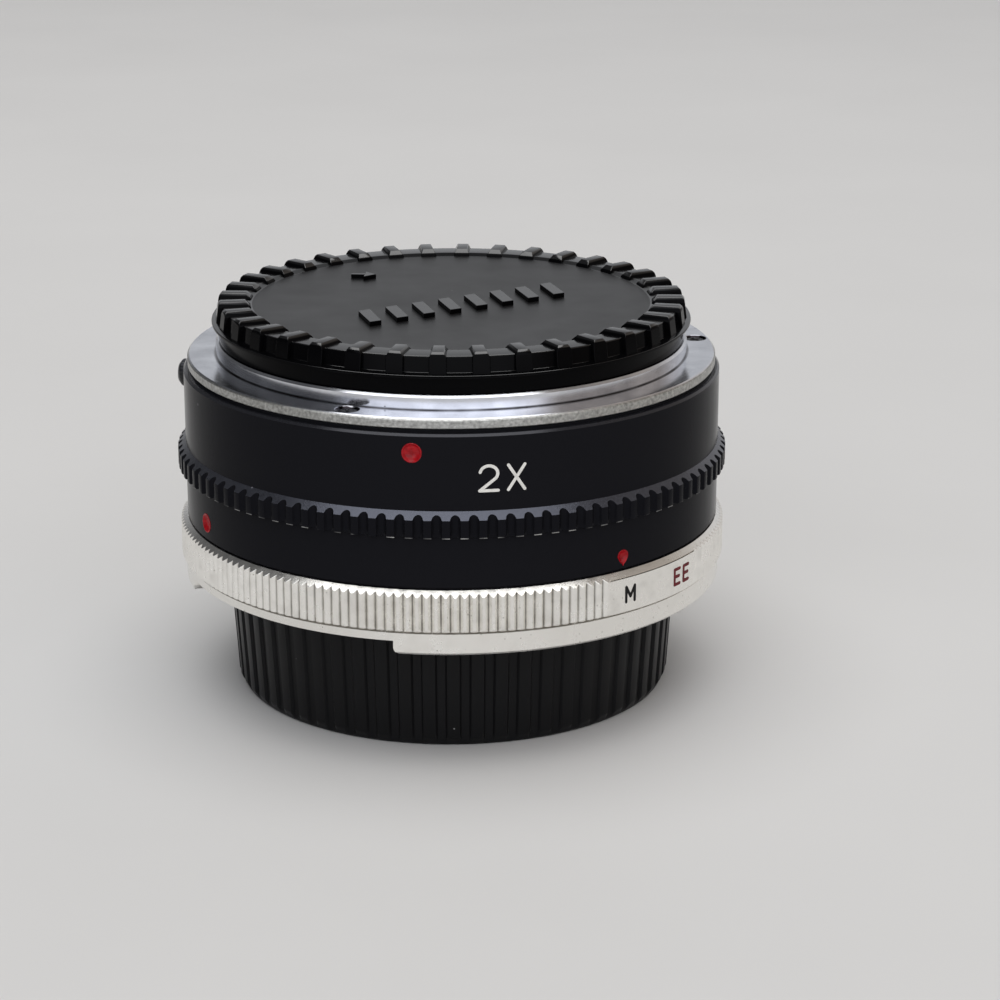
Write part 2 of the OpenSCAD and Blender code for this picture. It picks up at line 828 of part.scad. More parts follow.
module stop_down_spring()
    color("#b9bab8")
        return_spring(stop_ear_az, stop_spring_z);

module meter_spring()
    color("#b9bab8")
        return_spring(meter_ear_az, meter_spring_z);

// Outline of the knurl: sharp teeth, and a plain arc at root depth behind the panel
module knurl_outline() {
    pitch = 360 / knurl_count;
    polygon([for (i = [0:knurl_count - 1])
        let (a = panel_az[1] + pitch * i)
        each a > panel_az[0] + 360 - pitch / 2
            ? [[knurl_root_r * cos(a), knurl_root_r * sin(a)]]
            : [[knurl_root_r * cos(a), knurl_root_r * sin(a)],
               [ring_r * cos(a + pitch / 2), ring_r * sin(a + pitch / 2)]]]);
}

module mode_ring()
    color("#c3c1bb")
        difference() {
            translate([0, 0, ring_z])
                intersection() {
                    union() {
                        linear_extrude(ring_h)
                            knurl_outline();
                        sector(knurl_root_r - over, ring_r - panel_drop, panel_az[0],
                               panel_az[1] + 90 / knurl_count, ring_h);
                    }
                    rotate_extrude()
                        polygon([[0, 0], [ring_r - ring_foot_chamfer, 0],
                                 [ring_limit_r, ring_limit_r - ring_r + ring_foot_chamfer],
                                 [ring_limit_r, ring_h - 2 * ring_top_chamfer],
                                 [barrel_r, ring_h], [0, ring_h]]);
                }
            translate([0, 0, ring_z - over])
                cylinder(r = ring_bore_r, h = ring_h + 2 * over);
            cam_groove();
            for (turn = [0, ring_turn])
                at(click_az + turn, click_bump_at_r + 0.1, click_z - run_gap)
                    cylinder(r = click_bump_r + play, h = click_h + 2 * run_gap, $fn = 48);
        }

// Sloping groove in the bore that drives the stud of the mode pin down
module cam_groove()
    at(mode_pin_az + ring_turn / 2, 0, stud_z - mode_pin_travel / 2)
        rotate([-cam_tilt, 0, 0])
            translate([cam_depth_r / 2 + sleeve_r / 2 - over, 0, 0])
                cube([cam_depth_r - sleeve_r + 2 * over, cam_run + stud_d + 2 * cam_gap,
                      stud_d + 2 * cam_gap], center = true);

module mode_pin()
    color("#8d8e90") {
        at(mode_pin_az, mode_pin_r, rear_seat_z + play)
            cylinder(d = mode_pin_d, h = stud_z + pin_over - rear_seat_z, $fn = 48);
        at(mode_pin_az, mode_pin_r, stud_z)
            peg(stud_d, stud_r - mode_pin_r);
    }

// Round knob with a domed face, on a shank that goes through the barrel's slot
module release_knob()
    color("#2b2c2e")
        at(release_az, 0, knob_z)
            rotate([0, 90, 0])
                rotate_extrude($fn = 48)
                    polygon(concat([[0, slide_out_r - shank_grip],
                                    [knob_shank_d / 2, slide_out_r - shank_grip],
                                    [knob_shank_d / 2, barrel_r + knob_gap],
                                    [knob_d / 2, barrel_r + knob_gap]],
                                   [for (a = [0:15:90])
                                       [knob_d / 2 * cos(a),
                                        barrel_r + knob_proud - knob_dome + knob_dome * sin(a)]]));

// Block behind the knob that carries the lock pin
module lock_slide()
    color("#8d8e90")
        difference() {
            at(release_az, slide_in_r, slide_z)
                translate([0, -slide_w / 2, 0])
                    cube([slide_out_r - slide_in_r, slide_w, slide_h]);
            at(release_az, slide_out_r - shank_grip, knob_z)
                peg(knob_shank_d, 2 * shank_grip);
            at(release_az, lock_pin_r, slide_z + pin_floor)
                cylinder(d = lock_pin_d, h = slide_h, $fn = 32);
        }

module lock_pin()
    color("#b9bab8")
        at(release_az, lock_pin_r, slide_z + pin_floor)
            cylinder(d = lock_pin_d, h = seat_z + lock_travel - slide_z - pin_floor, $fn = 32);

module lock_spring()
    color("#b9bab8")
        at(release_az, lock_spring_at_r, shelf_top_z + lock_spring_wire)
            coil(lock_spring_r, lock_spring_wire, slide_z - shelf_top_z - 2 * lock_spring_wire - play,
                 lock_spring_turns);

// One tooth of the front cap: over the rim and down the wall to the brim
module cap_tooth()
    intersection() {
        rotate([90, 0, 0])
            linear_extrude(2 * tooth_w, center = true)
                polygon([[cap_rim_r - bite, brim_z + tooth_root], [tooth_out_r, brim_z + tooth_root],
                         [tooth_out_r - tooth_draft, cap_rim_z + tooth_h - tooth_edge],
                         [tooth_out_r - tooth_draft - tooth_edge, cap_rim_z + tooth_h],
                         [disc_r + tooth_inset, cap_rim_z + tooth_h],
                         [disc_r + tooth_foot, disc_z - tooth_root],
                         [cap_rim_r - bite, disc_z - tooth_root]]);
        rotate([90, 0, 90])
            linear_extrude(2 * barrel_r)
                polygon([[-tooth_w / 2, brim_z], [tooth_w / 2, brim_z],
                         [tooth_w / 2, cap_rim_z - tooth_root],
                         [tooth_w / 2 - tooth_slope, cap_rim_z + tooth_h],
                         [tooth_slope - tooth_w / 2, cap_rim_z + tooth_h],
                         [-tooth_w / 2, cap_rim_z - tooth_root]]);
    }

module front_cap()
    color("#19191a") {
        rotate_extrude()
            polygon([[0, disc_z - cap_plate_t], [tube_in_r, disc_z - cap_plate_t],
                     [tube_in_r, seat_z - male_tube_drop], [tube_r, seat_z - male_tube_drop],
                     [tube_r, collar_roof_z], [collar_r - collar_wall, collar_roof_z],
                     [collar_r - collar_wall, cap_z], [collar_r - collar_edge, cap_z],
                     [collar_r, cap_z + collar_edge], [collar_r, brim_z], [brim_r, brim_z],
                     [brim_r, brim_z + brim_t], [cap_rim_r, brim_z + brim_t + tooth_root],
                     [cap_rim_r - rim_draft, cap_rim_z - rim_edge],
                     [cap_rim_r - rim_draft - rim_edge, cap_rim_z],
                     [disc_r + rim_inner_draft, cap_rim_z], [disc_r, disc_z], [0, disc_z]]);
        for (az = lug_azimuths)
            translate([0, 0, seat_z - male_lug_drop - male_lug_t])
                sector(tube_r - bite, lug_r, az - lug_angle / 2, az + lug_angle / 2, male_lug_t);
        for (i = [0:tooth_count - 1])
            rotate([0, 0, 360 / tooth_count * (i + tooth_phase)])
                cap_tooth();
    }

// Rib that follows the draft of the rear cap's wall
module cap_rib() {
    rotate([90, 0, 0])
        linear_extrude(rib_w, center = true)
            polygon([[rear_cap_foot_r - bite, rib_z], [rear_cap_foot_r + rib_h * 0.4, rib_z],
                     [rear_cap_foot_r + rib_h, rib_z + rib_h],
                     [rear_cap_r + rib_h, rear_cap_h - rib_h - edge],
                     [rear_cap_r - bite, rear_cap_h - edge]]);
}

module rear_cap()
    color("#1c1c1d") {
        rotate_extrude()
            polygon([[0, 0], [rear_cap_foot_r - foot_round, 0],
                     [rear_cap_foot_r - foot_round * 0.3, foot_round * 0.3],
                     [rear_cap_foot_r, foot_round], [rear_cap_r, rear_cap_h],
                     [rear_cap_in_r, rear_cap_h],
                     [rear_cap_in_r, rear_cap_h - male_tube_drop - 2 * free_gap],
                     [rear_cap_in_r - rear_cap_draft, rear_cap_floor], [0, rear_cap_floor]]);
        female_lugs(rear_cap_h, rear_cap_in_r);
        for (i = [0:rib_count - 1])
            rotate([0, 0, 360 / rib_count * i])
                cap_rib();
    }

barrel();
grip_band();
lens_index_dot();
body_index_dot();
mode_index_mark();
front_mount();
front_mount_screws();
bayonet_springs();
rear_skirt();
rear_mount();
rear_mount_screws();
click_spring();
lens_cell();
cell_screws();
front_element();
second_element();
third_element();
rear_element();
front_spacer();
middle_spacer();
rear_spacer();
retaining_ring();
light_baffle();
stop_down_ring();
stop_down_keeper();
stop_down_spring();
meter_ring();
meter_keeper();
meter_spring();
mode_ring();
mode_pin();
release_knob();
lock_slide();
lock_pin();
lock_spring();
front_cap();
rear_cap();
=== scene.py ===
import bpy
import bmesh
import math
from mathutils import Matrix, Vector


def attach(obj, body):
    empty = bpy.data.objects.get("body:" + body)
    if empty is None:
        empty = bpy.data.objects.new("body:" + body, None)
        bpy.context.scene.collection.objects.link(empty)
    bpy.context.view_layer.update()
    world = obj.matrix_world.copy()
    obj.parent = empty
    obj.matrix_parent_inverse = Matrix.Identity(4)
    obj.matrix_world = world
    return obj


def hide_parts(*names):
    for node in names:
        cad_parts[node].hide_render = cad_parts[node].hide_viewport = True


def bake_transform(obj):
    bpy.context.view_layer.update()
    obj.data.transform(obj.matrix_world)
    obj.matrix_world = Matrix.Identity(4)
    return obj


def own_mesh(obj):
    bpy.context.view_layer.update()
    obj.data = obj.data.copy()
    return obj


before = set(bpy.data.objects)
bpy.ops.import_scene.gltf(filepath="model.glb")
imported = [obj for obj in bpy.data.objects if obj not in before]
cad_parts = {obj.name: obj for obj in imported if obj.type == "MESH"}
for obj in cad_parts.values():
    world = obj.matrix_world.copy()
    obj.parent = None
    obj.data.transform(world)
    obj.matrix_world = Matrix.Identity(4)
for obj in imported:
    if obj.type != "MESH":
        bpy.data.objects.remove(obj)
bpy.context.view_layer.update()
print("frame: loaded", len(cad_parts), "nodes")

mm = 0.001
barrelRadius = 31.0  # millimetres, of the wall that carries the marks


def hexLinear(code):
    channels = [int(code[i:i + 2], 16) / 255 for i in (1, 3, 5)]
    return tuple(c / 12.92 if c <= 0.04045 else ((c + 0.055) / 1.055) ** 2.4 for c in channels) + (1.0,)


def perMetre(size):  # pattern scale for a feature of this size in millimetres
    return 1000 / size


def addNode(tree, kind, settings=None, links=None):
    node = tree.nodes.new(kind)
    for key, value in (settings or {}).items():
        if isinstance(key, int) or key in node.inputs:
            node.inputs[key].default_value = value
        else:
            setattr(node, key, value)
    for socket, source in (links or {}).items():
        tree.links.new(source, node.inputs[socket])
    return node


def startMaterial(name, settings):
    finish = bpy.data.materials.new(name)
    finish.use_nodes = True
    tree = finish.node_tree
    shader = tree.nodes["Principled BSDF"]
    for key, value in settings.items():
        shader.inputs[key].default_value = value
    place = addNode(tree, "ShaderNodeTexCoord").outputs["Object"]
    return finish, tree, shader, place


def mixTones(tree, low, high, share):
    # colour that goes from one tone to another; a tone is a hex code or a socket
    mix = addNode(tree, "ShaderNodeMix", {"data_type": "RGBA"}, {0: share})
    for socket, tone in ((6, low), (7, high)):
        if isinstance(tone, str):
            mix.inputs[socket].default_value = hexLinear(tone)
        else:
            tree.links.new(tone, mix.inputs[socket])
    return mix.outputs[2]


def dustSpecks(tree, place, spacing, size, amount):
    # specks of this size, one cell in a few, as a mask from 0 to 1
    cells = addNode(tree, "ShaderNodeTexVoronoi", {"Scale": perMetre(spacing)}, {"Vector": place})
    dot = addNode(tree, "ShaderNodeMapRange", {1: 0.5 * size / spacing, 2: 0.25 * size / spacing},
                  {0: cells.outputs["Distance"]})
    pick = addNode(tree, "ShaderNodeSeparateColor", None, {0: cells.outputs["Color"]})
    some = addNode(tree, "ShaderNodeMath", {"operation": "LESS_THAN", 1: amount}, {0: pick.outputs[0]})
    return addNode(tree, "ShaderNodeMath", {"operation": "MULTIPLY"},
                   {0: dot.outputs[0], 1: some.outputs[0]}).outputs[0]


def axisDistance(tree, place):  # distance from the optical axis, in metres
    flat = addNode(tree, "ShaderNodeVectorMath", {"operation": "MULTIPLY", 1: (1, 1, 0)}, {0: place})
    return addNode(tree, "ShaderNodeVectorMath", {"operation": "LENGTH"}, {0: flat.outputs[0]}).outputs["Value"]


def noiseBetween(tree, place, size, detail, low, high):
    # cloudy noise of this size in millimetres, spread between two values
    noise = addNode(tree, "ShaderNodeTexNoise", {"Scale": perMetre(size), "Detail": detail}, {"Vector": place})
    return addNode(tree, "ShaderNodeMapRange", {1: 0.3, 2: 0.7, 3: low, 4: high}, {0: noise.outputs[0]}).outputs[0]


def product(tree, *factors):
    total = factors[0]
    for factor in factors[1:]:
        total = addNode(tree, "ShaderNodeMath", {"operation": "MULTIPLY"}, {0: total, 1: factor}).outputs[0]
    return total


def upwardShare(tree, *steps):
    # 1 where the surface leans up between the given steps of its normal's height, fading over each pair
    normal = addNode(tree, "ShaderNodeNewGeometry").outputs["Normal"]
    height = addNode(tree, "ShaderNodeSeparateXYZ", None, {0: normal}).outputs["Z"]
    return product(tree, *[addNode(tree, "ShaderNodeMapRange", {1: low, 2: high}, {0: height}).outputs[0]
                           for low, high in steps])


def band(tree, value, start, end):  # 0 at one length in millimetres, 1 at the other
    return addNode(tree, "ShaderNodeMapRange", {1: start * mm, 2: end * mm}, {0: value}).outputs[0]


def edgeGloss(tree, shader, place, s):
    # rounded edges, rubbed smooth by handling, and flats that face up mirror more than the walls do
    slanted = upwardShare(tree, (0.5, 0.65), (0.97, 0.85))
    if "glossFrom" in s:  # only beyond this radius or above this height
        height = addNode(tree, "ShaderNodeSeparateXYZ", None, {0: place}).outputs["Z"]
        outside = addNode(tree, "ShaderNodeMath", {"operation": "MAXIMUM"}, {
            0: band(tree, axisDistance(tree, place), s["glossFrom"][0] - 0.1, s["glossFrom"][0]),
            1: band(tree, height, s["glossFrom"][1] - 0.05, s["glossFrom"][1])})
        slanted = product(tree, slanted, outside.outputs[0])
    edges = addNode(tree, "ShaderNodeMapRange", {3: s["level"], 4: s["edgeLevel"]}, {0: slanted})
    flats = addNode(tree, "ShaderNodeMath", {"operation": "MULTIPLY_ADD", 1: s["flatLevel"] - s["level"]},
                    {0: upwardShare(tree, (0.85, 0.97)), 2: edges.outputs[0]})
    tree.links.new(flats.outputs[0], shader.inputs["Specular IOR Level"])


# lint, paleLint, dust, pit, knock and fleck tones are real dirt and wear; the grime tone is painted shade with some
# grime, and the bare metal tone is a painted highlight
dirtAndPaintedLightTones = {"lint": "#77767a", "paleLint": "#8b8b8b", "dust": "#a3a7b4", "paintedGlintTone": "#c9c8c4", "pit": "#55565a",
             "knock": ("#c4c4c1", "#8a8a87"), "shadeAndGrime": "#2b282c", "fleck": "#9a978f"}


def anodisedBlackFinish(name, s):
    # black anodised aluminium: deep black with a soft sheen, dust on what faces up, and painted highlights on the
    # lower corners of the ridges
    finish, tree, shader, place = startMaterial(name, {})
    edgeGloss(tree, shader, place, s)
    specks = dustSpecks(tree, place, 2.2, 0.26, s["specks"])
    colour = mixTones(tree, s["tone"], dirtAndPaintedLightTones["lint"], specks)
    dust = product(tree, upwardShare(tree, (0.35, 0.8)),
                   noiseBetween(tree, place, 0.3, 4, 0.25 * s["dust"], s["dust"]))
    colour = mixTones(tree, colour, dirtAndPaintedLightTones["dust"], dust)
    if "footHighlight" in s:  # painted highlight: a bright metal tone on the lower corners of the ridges, where they catch the light
        height = addNode(tree, "ShaderNodeSeparateXYZ", None, {0: place}).outputs["Z"]
        footGlint = product(tree, band(tree, height, s["footHighlight"][0], s["footHighlight"][0] - 0.1),
                       band(tree, axisDistance(tree, place), s["footHighlight"][1] - 0.1, s["footHighlight"][1]),
                       noiseBetween(tree, place, 2.4, 2, -0.4, 1.0))
        colour = mixTones(tree, colour, dirtAndPaintedLightTones["paintedGlintTone"], footGlint)
    tree.links.new(colour, shader.inputs["Base Color"])
    rough = noiseBetween(tree, place, 9, 4, s["rough"] - 0.03, s["rough"] + 0.05)
    tree.links.new(rough, shader.inputs["Roughness"])
    # blasted grain is about 0.05 mm, drawn at 0.2 mm so that it shows
    grain = addNode(tree, "ShaderNodeTexNoise", {"Scale": perMetre(0.2), "Detail": 2}, {"Vector": place})
    bump = addNode(tree, "ShaderNodeBump", {"Strength": s["grain"], "Distance": 0.02 * mm},
                   {"Height": grain.outputs[0]})
    tree.links.new(bump.outputs[0], shader.inputs["Normal"])
    shader.inputs["Specular Tint"].default_value = hexLinear(s["sheen"])
    return finish


def turnedMetalFinish(name, s):
    # plated or bare turned metal: fine rings from the tool draw highlights out, with small pits and dull patches
    finish, tree, shader, place = startMaterial(name, {
        "Metallic": 1.0, "Anisotropic": s["stretch"], "Anisotropic Rotation": 0.25})
    tangent = addNode(tree, "ShaderNodeTangent", {"direction_type": "RADIAL", "axis": "Z"})
    tree.links.new(tangent.outputs[0], shader.inputs["Tangent"])
    radius = axisDistance(tree, place)
    lineAt = addNode(tree, "ShaderNodeMath", {"operation": "MULTIPLY", 1: perMetre(s["linePitch"])}, {0: radius})
    lines = addNode(tree, "ShaderNodeTexNoise", {"noise_dimensions": "1D", "Scale": 1.0, "Detail": 3},
                    {"W": lineAt.outputs[0]})
    colour = mixTones(tree, s["tone"], s["wornTone"], noiseBetween(tree, place, 4, 6, 0.0, 0.8))
    pits = dustSpecks(tree, place, 0.8, 0.2, s["pits"])
    colour = mixTones(tree, colour, dirtAndPaintedLightTones["pit"], pits)
    if "dullEdge" in s:  # the outer edge is knocked and dull; painted shade, with some grime, darkens the corner under the seat and the countersinks round the screws
        edge = band(tree, radius, s["dullEdge"] - 0.1, s["dullEdge"])
        knocks = mixTones(tree, *dirtAndPaintedLightTones["knock"], noiseBetween(tree, place, 0.35, 4, 0.0, 1.0))
        colour = mixTones(tree, colour, knocks, edge)
        height = addNode(tree, "ShaderNodeSeparateXYZ", None, {0: place}).outputs["Z"]
        # painted shade in the corner at the foot of the seat wall
        corner = product(tree, band(tree, radius, s["corner"][0] + 0.3, s["corner"][0] + 0.1),
                         band(tree, radius, s["corner"][0] - 0.1, s["corner"][0] - 0.05),
                         band(tree, height, s["corner"][1] + 0.22, s["corner"][1] + 0.08),
                         noiseBetween(tree, place, 5, 3, 0.5, 1.0))
        # painted shade in the countersinks round the screws, below the flange's top
        sunk = product(tree, band(tree, height, s["corner"][1] - 0.01, s["corner"][1] - 0.05),
                       band(tree, radius, s["corner"][0] + 0.2, s["corner"][0] + 0.3),
                       band(tree, radius, s["dullEdge"] - 0.2, s["dullEdge"] - 0.3))
        shadeAndGrime = addNode(tree, "ShaderNodeMath", {"operation": "MAXIMUM"}, {0: corner, 1: sunk})
        colour = mixTones(tree, colour, dirtAndPaintedLightTones["shadeAndGrime"], shadeAndGrime.outputs[0])
    tree.links.new(colour, shader.inputs["Base Color"])
    rough = addNode(tree, "ShaderNodeMapRange", {1: 0.3, 2: 0.7, 3: s["rough"] - 0.04, 4: s["rough"] + 0.05},
                    {0: lines.outputs[0]}).outputs[0]
    if "dullEdge" in s:
        rough = addNode(tree, "ShaderNodeMath", {"operation": "MULTIPLY_ADD", 1: 0.25},
                        {0: edge, 2: rough}).outputs[0]
    tree.links.new(rough, shader.inputs["Roughness"])
    bump = addNode(tree, "ShaderNodeBump", {"Strength": s["lineStrength"], "Distance": 0.01 * mm},
                   {"Height": lines.outputs[0]})
    tree.links.new(bump.outputs[0], shader.inputs["Normal"])
    return finish


def satinAluminiumFinish(name, s):
    # clear anodised aluminium: pale, speckled and satin, darker deep in the knurl and on faces that don't look up,
    # partly grime and partly painted shade
    finish, tree, shader, place = startMaterial(name, {"Metallic": 1.0})
    depth = band(tree, axisDistance(tree, place), *s["shadeAndGrime"])
    stain = noiseBetween(tree, place, 1.6, 5, -0.15, 0.15)
    # faces that look up stay pale: painted light, while the knurl roots and undersides take the darker root tone as
    # painted shade with some grime
    above = addNode(tree, "ShaderNodeMath", {"operation": "ADD"},
                    {0: depth, 1: upwardShare(tree, (0.2, 0.4))})
    paleShare = addNode(tree, "ShaderNodeMath", {"operation": "ADD", "use_clamp": True},
                    {0: above.outputs[0], 1: stain})
    colour = mixTones(tree, s["rootTone"], s["tone"], paleShare.outputs[0])
    colour = mixTones(tree, colour, dirtAndPaintedLightTones["fleck"], dustSpecks(tree, place, 0.6, 0.18, 0.35))
    tree.links.new(colour, shader.inputs["Base Color"])
    tree.links.new(noiseBetween(tree, place, 1.6, 5, 0.18, 0.3), shader.inputs["Roughness"])
    # etched grain under the anodising, drawn at 0.25 mm so that it shows
    grain = addNode(tree, "ShaderNodeTexNoise", {"Scale": perMetre(0.25), "Detail": 3}, {"Vector": place})
    bump = addNode(tree, "ShaderNodeBump", {"Strength": 0.15, "Distance": 0.02 * mm},
                   {"Height": grain.outputs[0]})
    tree.links.new(bump.outputs[0], shader.inputs["Normal"])
    return finish


def mouldedPlasticFinish(name, s):
    # injection moulded black plastic: polished where the tool was, etched on the flat, with dust and rubbing
    finish, tree, shader, place = startMaterial(name, {})
    edgeGloss(tree, shader, place, s)
    specks = dustSpecks(tree, place, 2.6, 0.24, s["specks"])
    tree.links.new(mixTones(tree, s["tone"], dirtAndPaintedLightTones["paleLint"], specks), shader.inputs["Base Color"])
    beyond = band(tree, axisDistance(tree, place), s["etchedWithin"][0] - 0.05, s["etchedWithin"][0])
    height = addNode(tree, "ShaderNodeSeparateXYZ", None, {0: place}).outputs["Z"]
    above = band(tree, height, s["etchedWithin"][1], s["etchedWithin"][1] + 0.08)
    polished = addNode(tree, "ShaderNodeMath", {"operation": "ADD", "use_clamp": True},
                       {0: beyond, 1: above}).outputs[0]
    base = addNode(tree, "ShaderNodeMapRange", {3: s["rough"][0], 4: s["rough"][1]}, {0: polished}).outputs[0]
    rub = noiseBetween(tree, place, 6, 5, -0.02, 0.04)
    rough = addNode(tree, "ShaderNodeMath", {"operation": "ADD"}, {0: base, 1: rub})
    tree.links.new(rough.outputs[0], shader.inputs["Roughness"])
    grain = addNode(tree, "ShaderNodeTexNoise", {"Scale": perMetre(s["grain"]), "Detail": 2}, {"Vector": place})
    bump = addNode(tree, "ShaderNodeBump", {"Strength": s["grainStrength"], "Distance": 0.012 * mm},
                   {"Height": grain.outputs[0]})
    tree.links.new(bump.outputs[0], shader.inputs["Normal"])
    return finish


def lacquerFinish(name, tone, deepTone, roughness):
    # paint run into an engraved mark: a wet-looking skin, thicker and darker in places
    finish, tree, shader, place = startMaterial(name, {"Specular IOR Level": 0.2})
    pool = noiseBetween(tree, place, 0.7, 3, 0.0, 1.0)
    tree.links.new(mixTones(tree, tone, deepTone, pool), shader.inputs["Base Color"])
    rough = addNode(tree, "ShaderNodeMapRange", {3: roughness - 0.06, 4: roughness + 0.08}, {0: pool})
    tree.links.new(rough.outputs[0], shader.inputs["Roughness"])
    bump = addNode(tree, "ShaderNodeBump", {"Strength": 0.25, "Distance": 0.05 * mm},
                   {"Height": pool})
    tree.links.new(bump.outputs[0], shader.inputs["Normal"])
    return finish


def coatedGlassFinish():
    # optical glass with a thin coating: clear, with a faint blue cast in its reflection
    finish, tree, shader, place = startMaterial("coatedOpticalGlass", {
        "IOR": 1.62, "Transmission Weight": 1.0, "Base Color": hexLinear("#e8ecf4")})
    tree.links.new(noiseBetween(tree, place, 5, 3, 0.01, 0.04), shader.inputs["Roughness"])
    return finish


barrelBlack = anodisedBlackFinish("blackAnodisedBarrel", {
    "tone": "#17171a", "level": 0.03, "edgeLevel": 0.4, "flatLevel": 0.1, "specks": 0.1, "dust": 0.02, "rough": 0.18,
    "grain": 0.06, "sheen": "#f4f5ff"})
gripBlack = anodisedBlackFinish("blackAnodisedGrip", {
    "tone": "#141417", "level": 0.04, "edgeLevel": 1.0, "flatLevel": 0.1, "specks": 0.3, "dust": 0.06, "rough": 0.25,
    "grain": 0.3, "sheen": "#dfe5fc", "footHighlight": (26.68, 31.9)})
knobBlack = anodisedBlackFinish("darkAnodisedKnob", {
    "tone": "#1d1e20", "level": 0.3, "edgeLevel": 0.5, "flatLevel": 0.3, "specks": 0.1, "dust": 0.1, "rough": 0.3,
    "grain": 0.06, "sheen": "#ffffff"})
innerBlack = anodisedBlackFinish("mattBlackLensCell", {
    "tone": "#0a0a0a", "level": 0.3, "edgeLevel": 0.3, "flatLevel": 0.3, "specks": 0.05, "dust": 0.03, "rough": 0.6,
    "grain": 0.06, "sheen": "#ffffff"})
mountChrome = turnedMetalFinish("satinChromedBrass", {
    "tone": "#e4e6ec", "wornTone": "#b4b6bd", "rough": 0.15, "linePitch": 0.16, "lineStrength": 0.2, "stretch": 0.35,
    "pits": 0.2, "dullEdge": 30.4, "corner": (27.2, 39.5)})
plainSteel = turnedMetalFinish("zincPlatedSteel", {
    "tone": "#c4c5c6", "wornTone": "#9c9da0", "rough": 0.25, "linePitch": 0.3, "lineStrength": 0.1, "stretch": 0.0,
    "pits": 0.05})
springSteel = turnedMetalFinish("springSteelWire", {
    "tone": "#a4a5a3", "wornTone": "#8b8c8b", "rough": 0.32, "linePitch": 0.3, "lineStrength": 0.2, "stretch": 0.0,
    "pits": 0.05})
leverBrass = turnedMetalFinish("plainBrassRing", {
    "tone": "#b39b58", "wornTone": "#8f7a42", "rough": 0.35, "linePitch": 0.3, "lineStrength": 0.25, "stretch": 0.3,
    "pits": 0.05})
screwSteel = turnedMetalFinish("dulledScrewSteel", {
    "tone": "#4d4d50", "wornTone": "#303032", "rough": 0.4, "linePitch": 0.3, "lineStrength": 0.1, "stretch": 0.0,
    "pits": 0.1})
ringAluminium = satinAluminiumFinish("clearAnodisedKnurl", {
    "tone": "#f3f1ec", "rootTone": "#85817a", "shadeAndGrime": (31.36, 31.54)})
skirtAluminium = satinAluminiumFinish("clearAnodisedSkirt", {
    "tone": "#f0eee9", "rootTone": "#d2cfc8", "shadeAndGrime": (30.6, 31.0)})
capPlastic = mouldedPlasticFinish("blackAbsCap", {
    "tone": "#050506", "level": 0.04, "edgeLevel": 1.0, "flatLevel": 0.5, "specks": 0.05, "rough": (0.4, 0.14),
    "etchedWithin": (22.95, 45.07), "glossFrom": (23.7, 45.4), "grain": 0.3, "grainStrength": 0.08})
rearPlastic = mouldedPlasticFinish("blackPolyethyleneCap", {
    "tone": "#121213", "level": 0.12, "edgeLevel": 0.12, "flatLevel": 0.12, "specks": 0.3, "rough": (0.35, 0.35),
    "etchedWithin": (30.0, 30.0), "grain": 0.35, "grainStrength": 0.2})
redLacquer = lacquerFinish("redLacquerFill", "#b0161f", "#820d15", 0.14)
whiteInk = lacquerFinish("whiteFilledEngraving", "#e6e4de", "#d2d0ca", 0.5)
blackInk = lacquerFinish("blackFilledEngraving", "#0d0d0e", "#080809", 0.45)
darkRedInk = lacquerFinish("darkRedFilledEngraving", "#6c151e", "#581019", 0.45)
lensGlass = coatedGlassFinish()
print("finishes: made", len(bpy.data.materials), "materials")


def softened(corners, steps=4):
    # rounds the corners (r, z, rounding) of a closed section
    section = []
    for i, (r, z, rounding) in enumerate(corners):
        if rounding <= 0:
            section.append((r, z))
            continue
        corner = Vector((r, z))
        before = Vector(corners[i - 1][:2])
        after = Vector(corners[(i + 1) % len(corners)][:2])
        start = corner + (before - corner).normalized() * rounding
        end = corner + (after - corner).normalized() * rounding
        for k in range(steps + 1):
            t = k / steps
            section.append(tuple(start * (1 - t) ** 2 + corner * 2 * t * (1 - t) + end * t * t))
    return section


def sweepSections(angles, sections, closed=True):
    # one closed section (r, z) in millimetres for each angle in degrees, joined all round or capped at both ends
    verts, faces = [], []
    rows = len(sections[0])
    for angle, section in zip(angles, sections):
        c, s = math.cos(math.radians(angle)), math.sin(math.radians(angle))
        verts += [(r * mm * c, r * mm * s, z * mm) for r, z in section]
    for i in range(len(angles) if closed else len(angles) - 1):
        j = (i + 1) % len(angles)
        for k in range(rows):
            m = (k + 1) % rows
            faces.append((i * rows + k, j * rows + k, j * rows + m, i * rows + m))
    if not closed:
        last = (len(angles) - 1) * rows
        faces += [tuple(range(rows)), tuple(range(last, last + rows))]
    return verts, faces


def turned(corners, segments):
    angles = [360 * i / segments for i in range(segments)]
    return sweepSections(angles, [softened(corners)] * segments)


bayonetLugs = {"middles": (30, 150, 270), "halfAngle": 26, "stepAngle": 2, "rounding": 0.1}


def lugSolids(s, inner, outer, low, high):
    # the three bayonet lugs of a cap
    section = softened([(inner, low, 0), (outer, low, s["rounding"]), (outer, high, s["rounding"]), (inner, high, 0)])
    steps = 2 * s["halfAngle"] // s["stepAngle"]
    lugs = []
    for middle in s["middles"]:
        angles = [middle - s["halfAngle"] + s["stepAngle"] * i for i in range(steps + 1)]
        lugs.append(sweepSections(angles, [section] * len(angles), closed=False))
    return joined(*lugs)


def joined(*parts):
    verts, faces = [], []
    for partVerts, partFaces in parts:
        offset = len(verts)
        verts += partVerts
        faces += [tuple(v + offset for v in face) for face in partFaces]
    return verts, faces


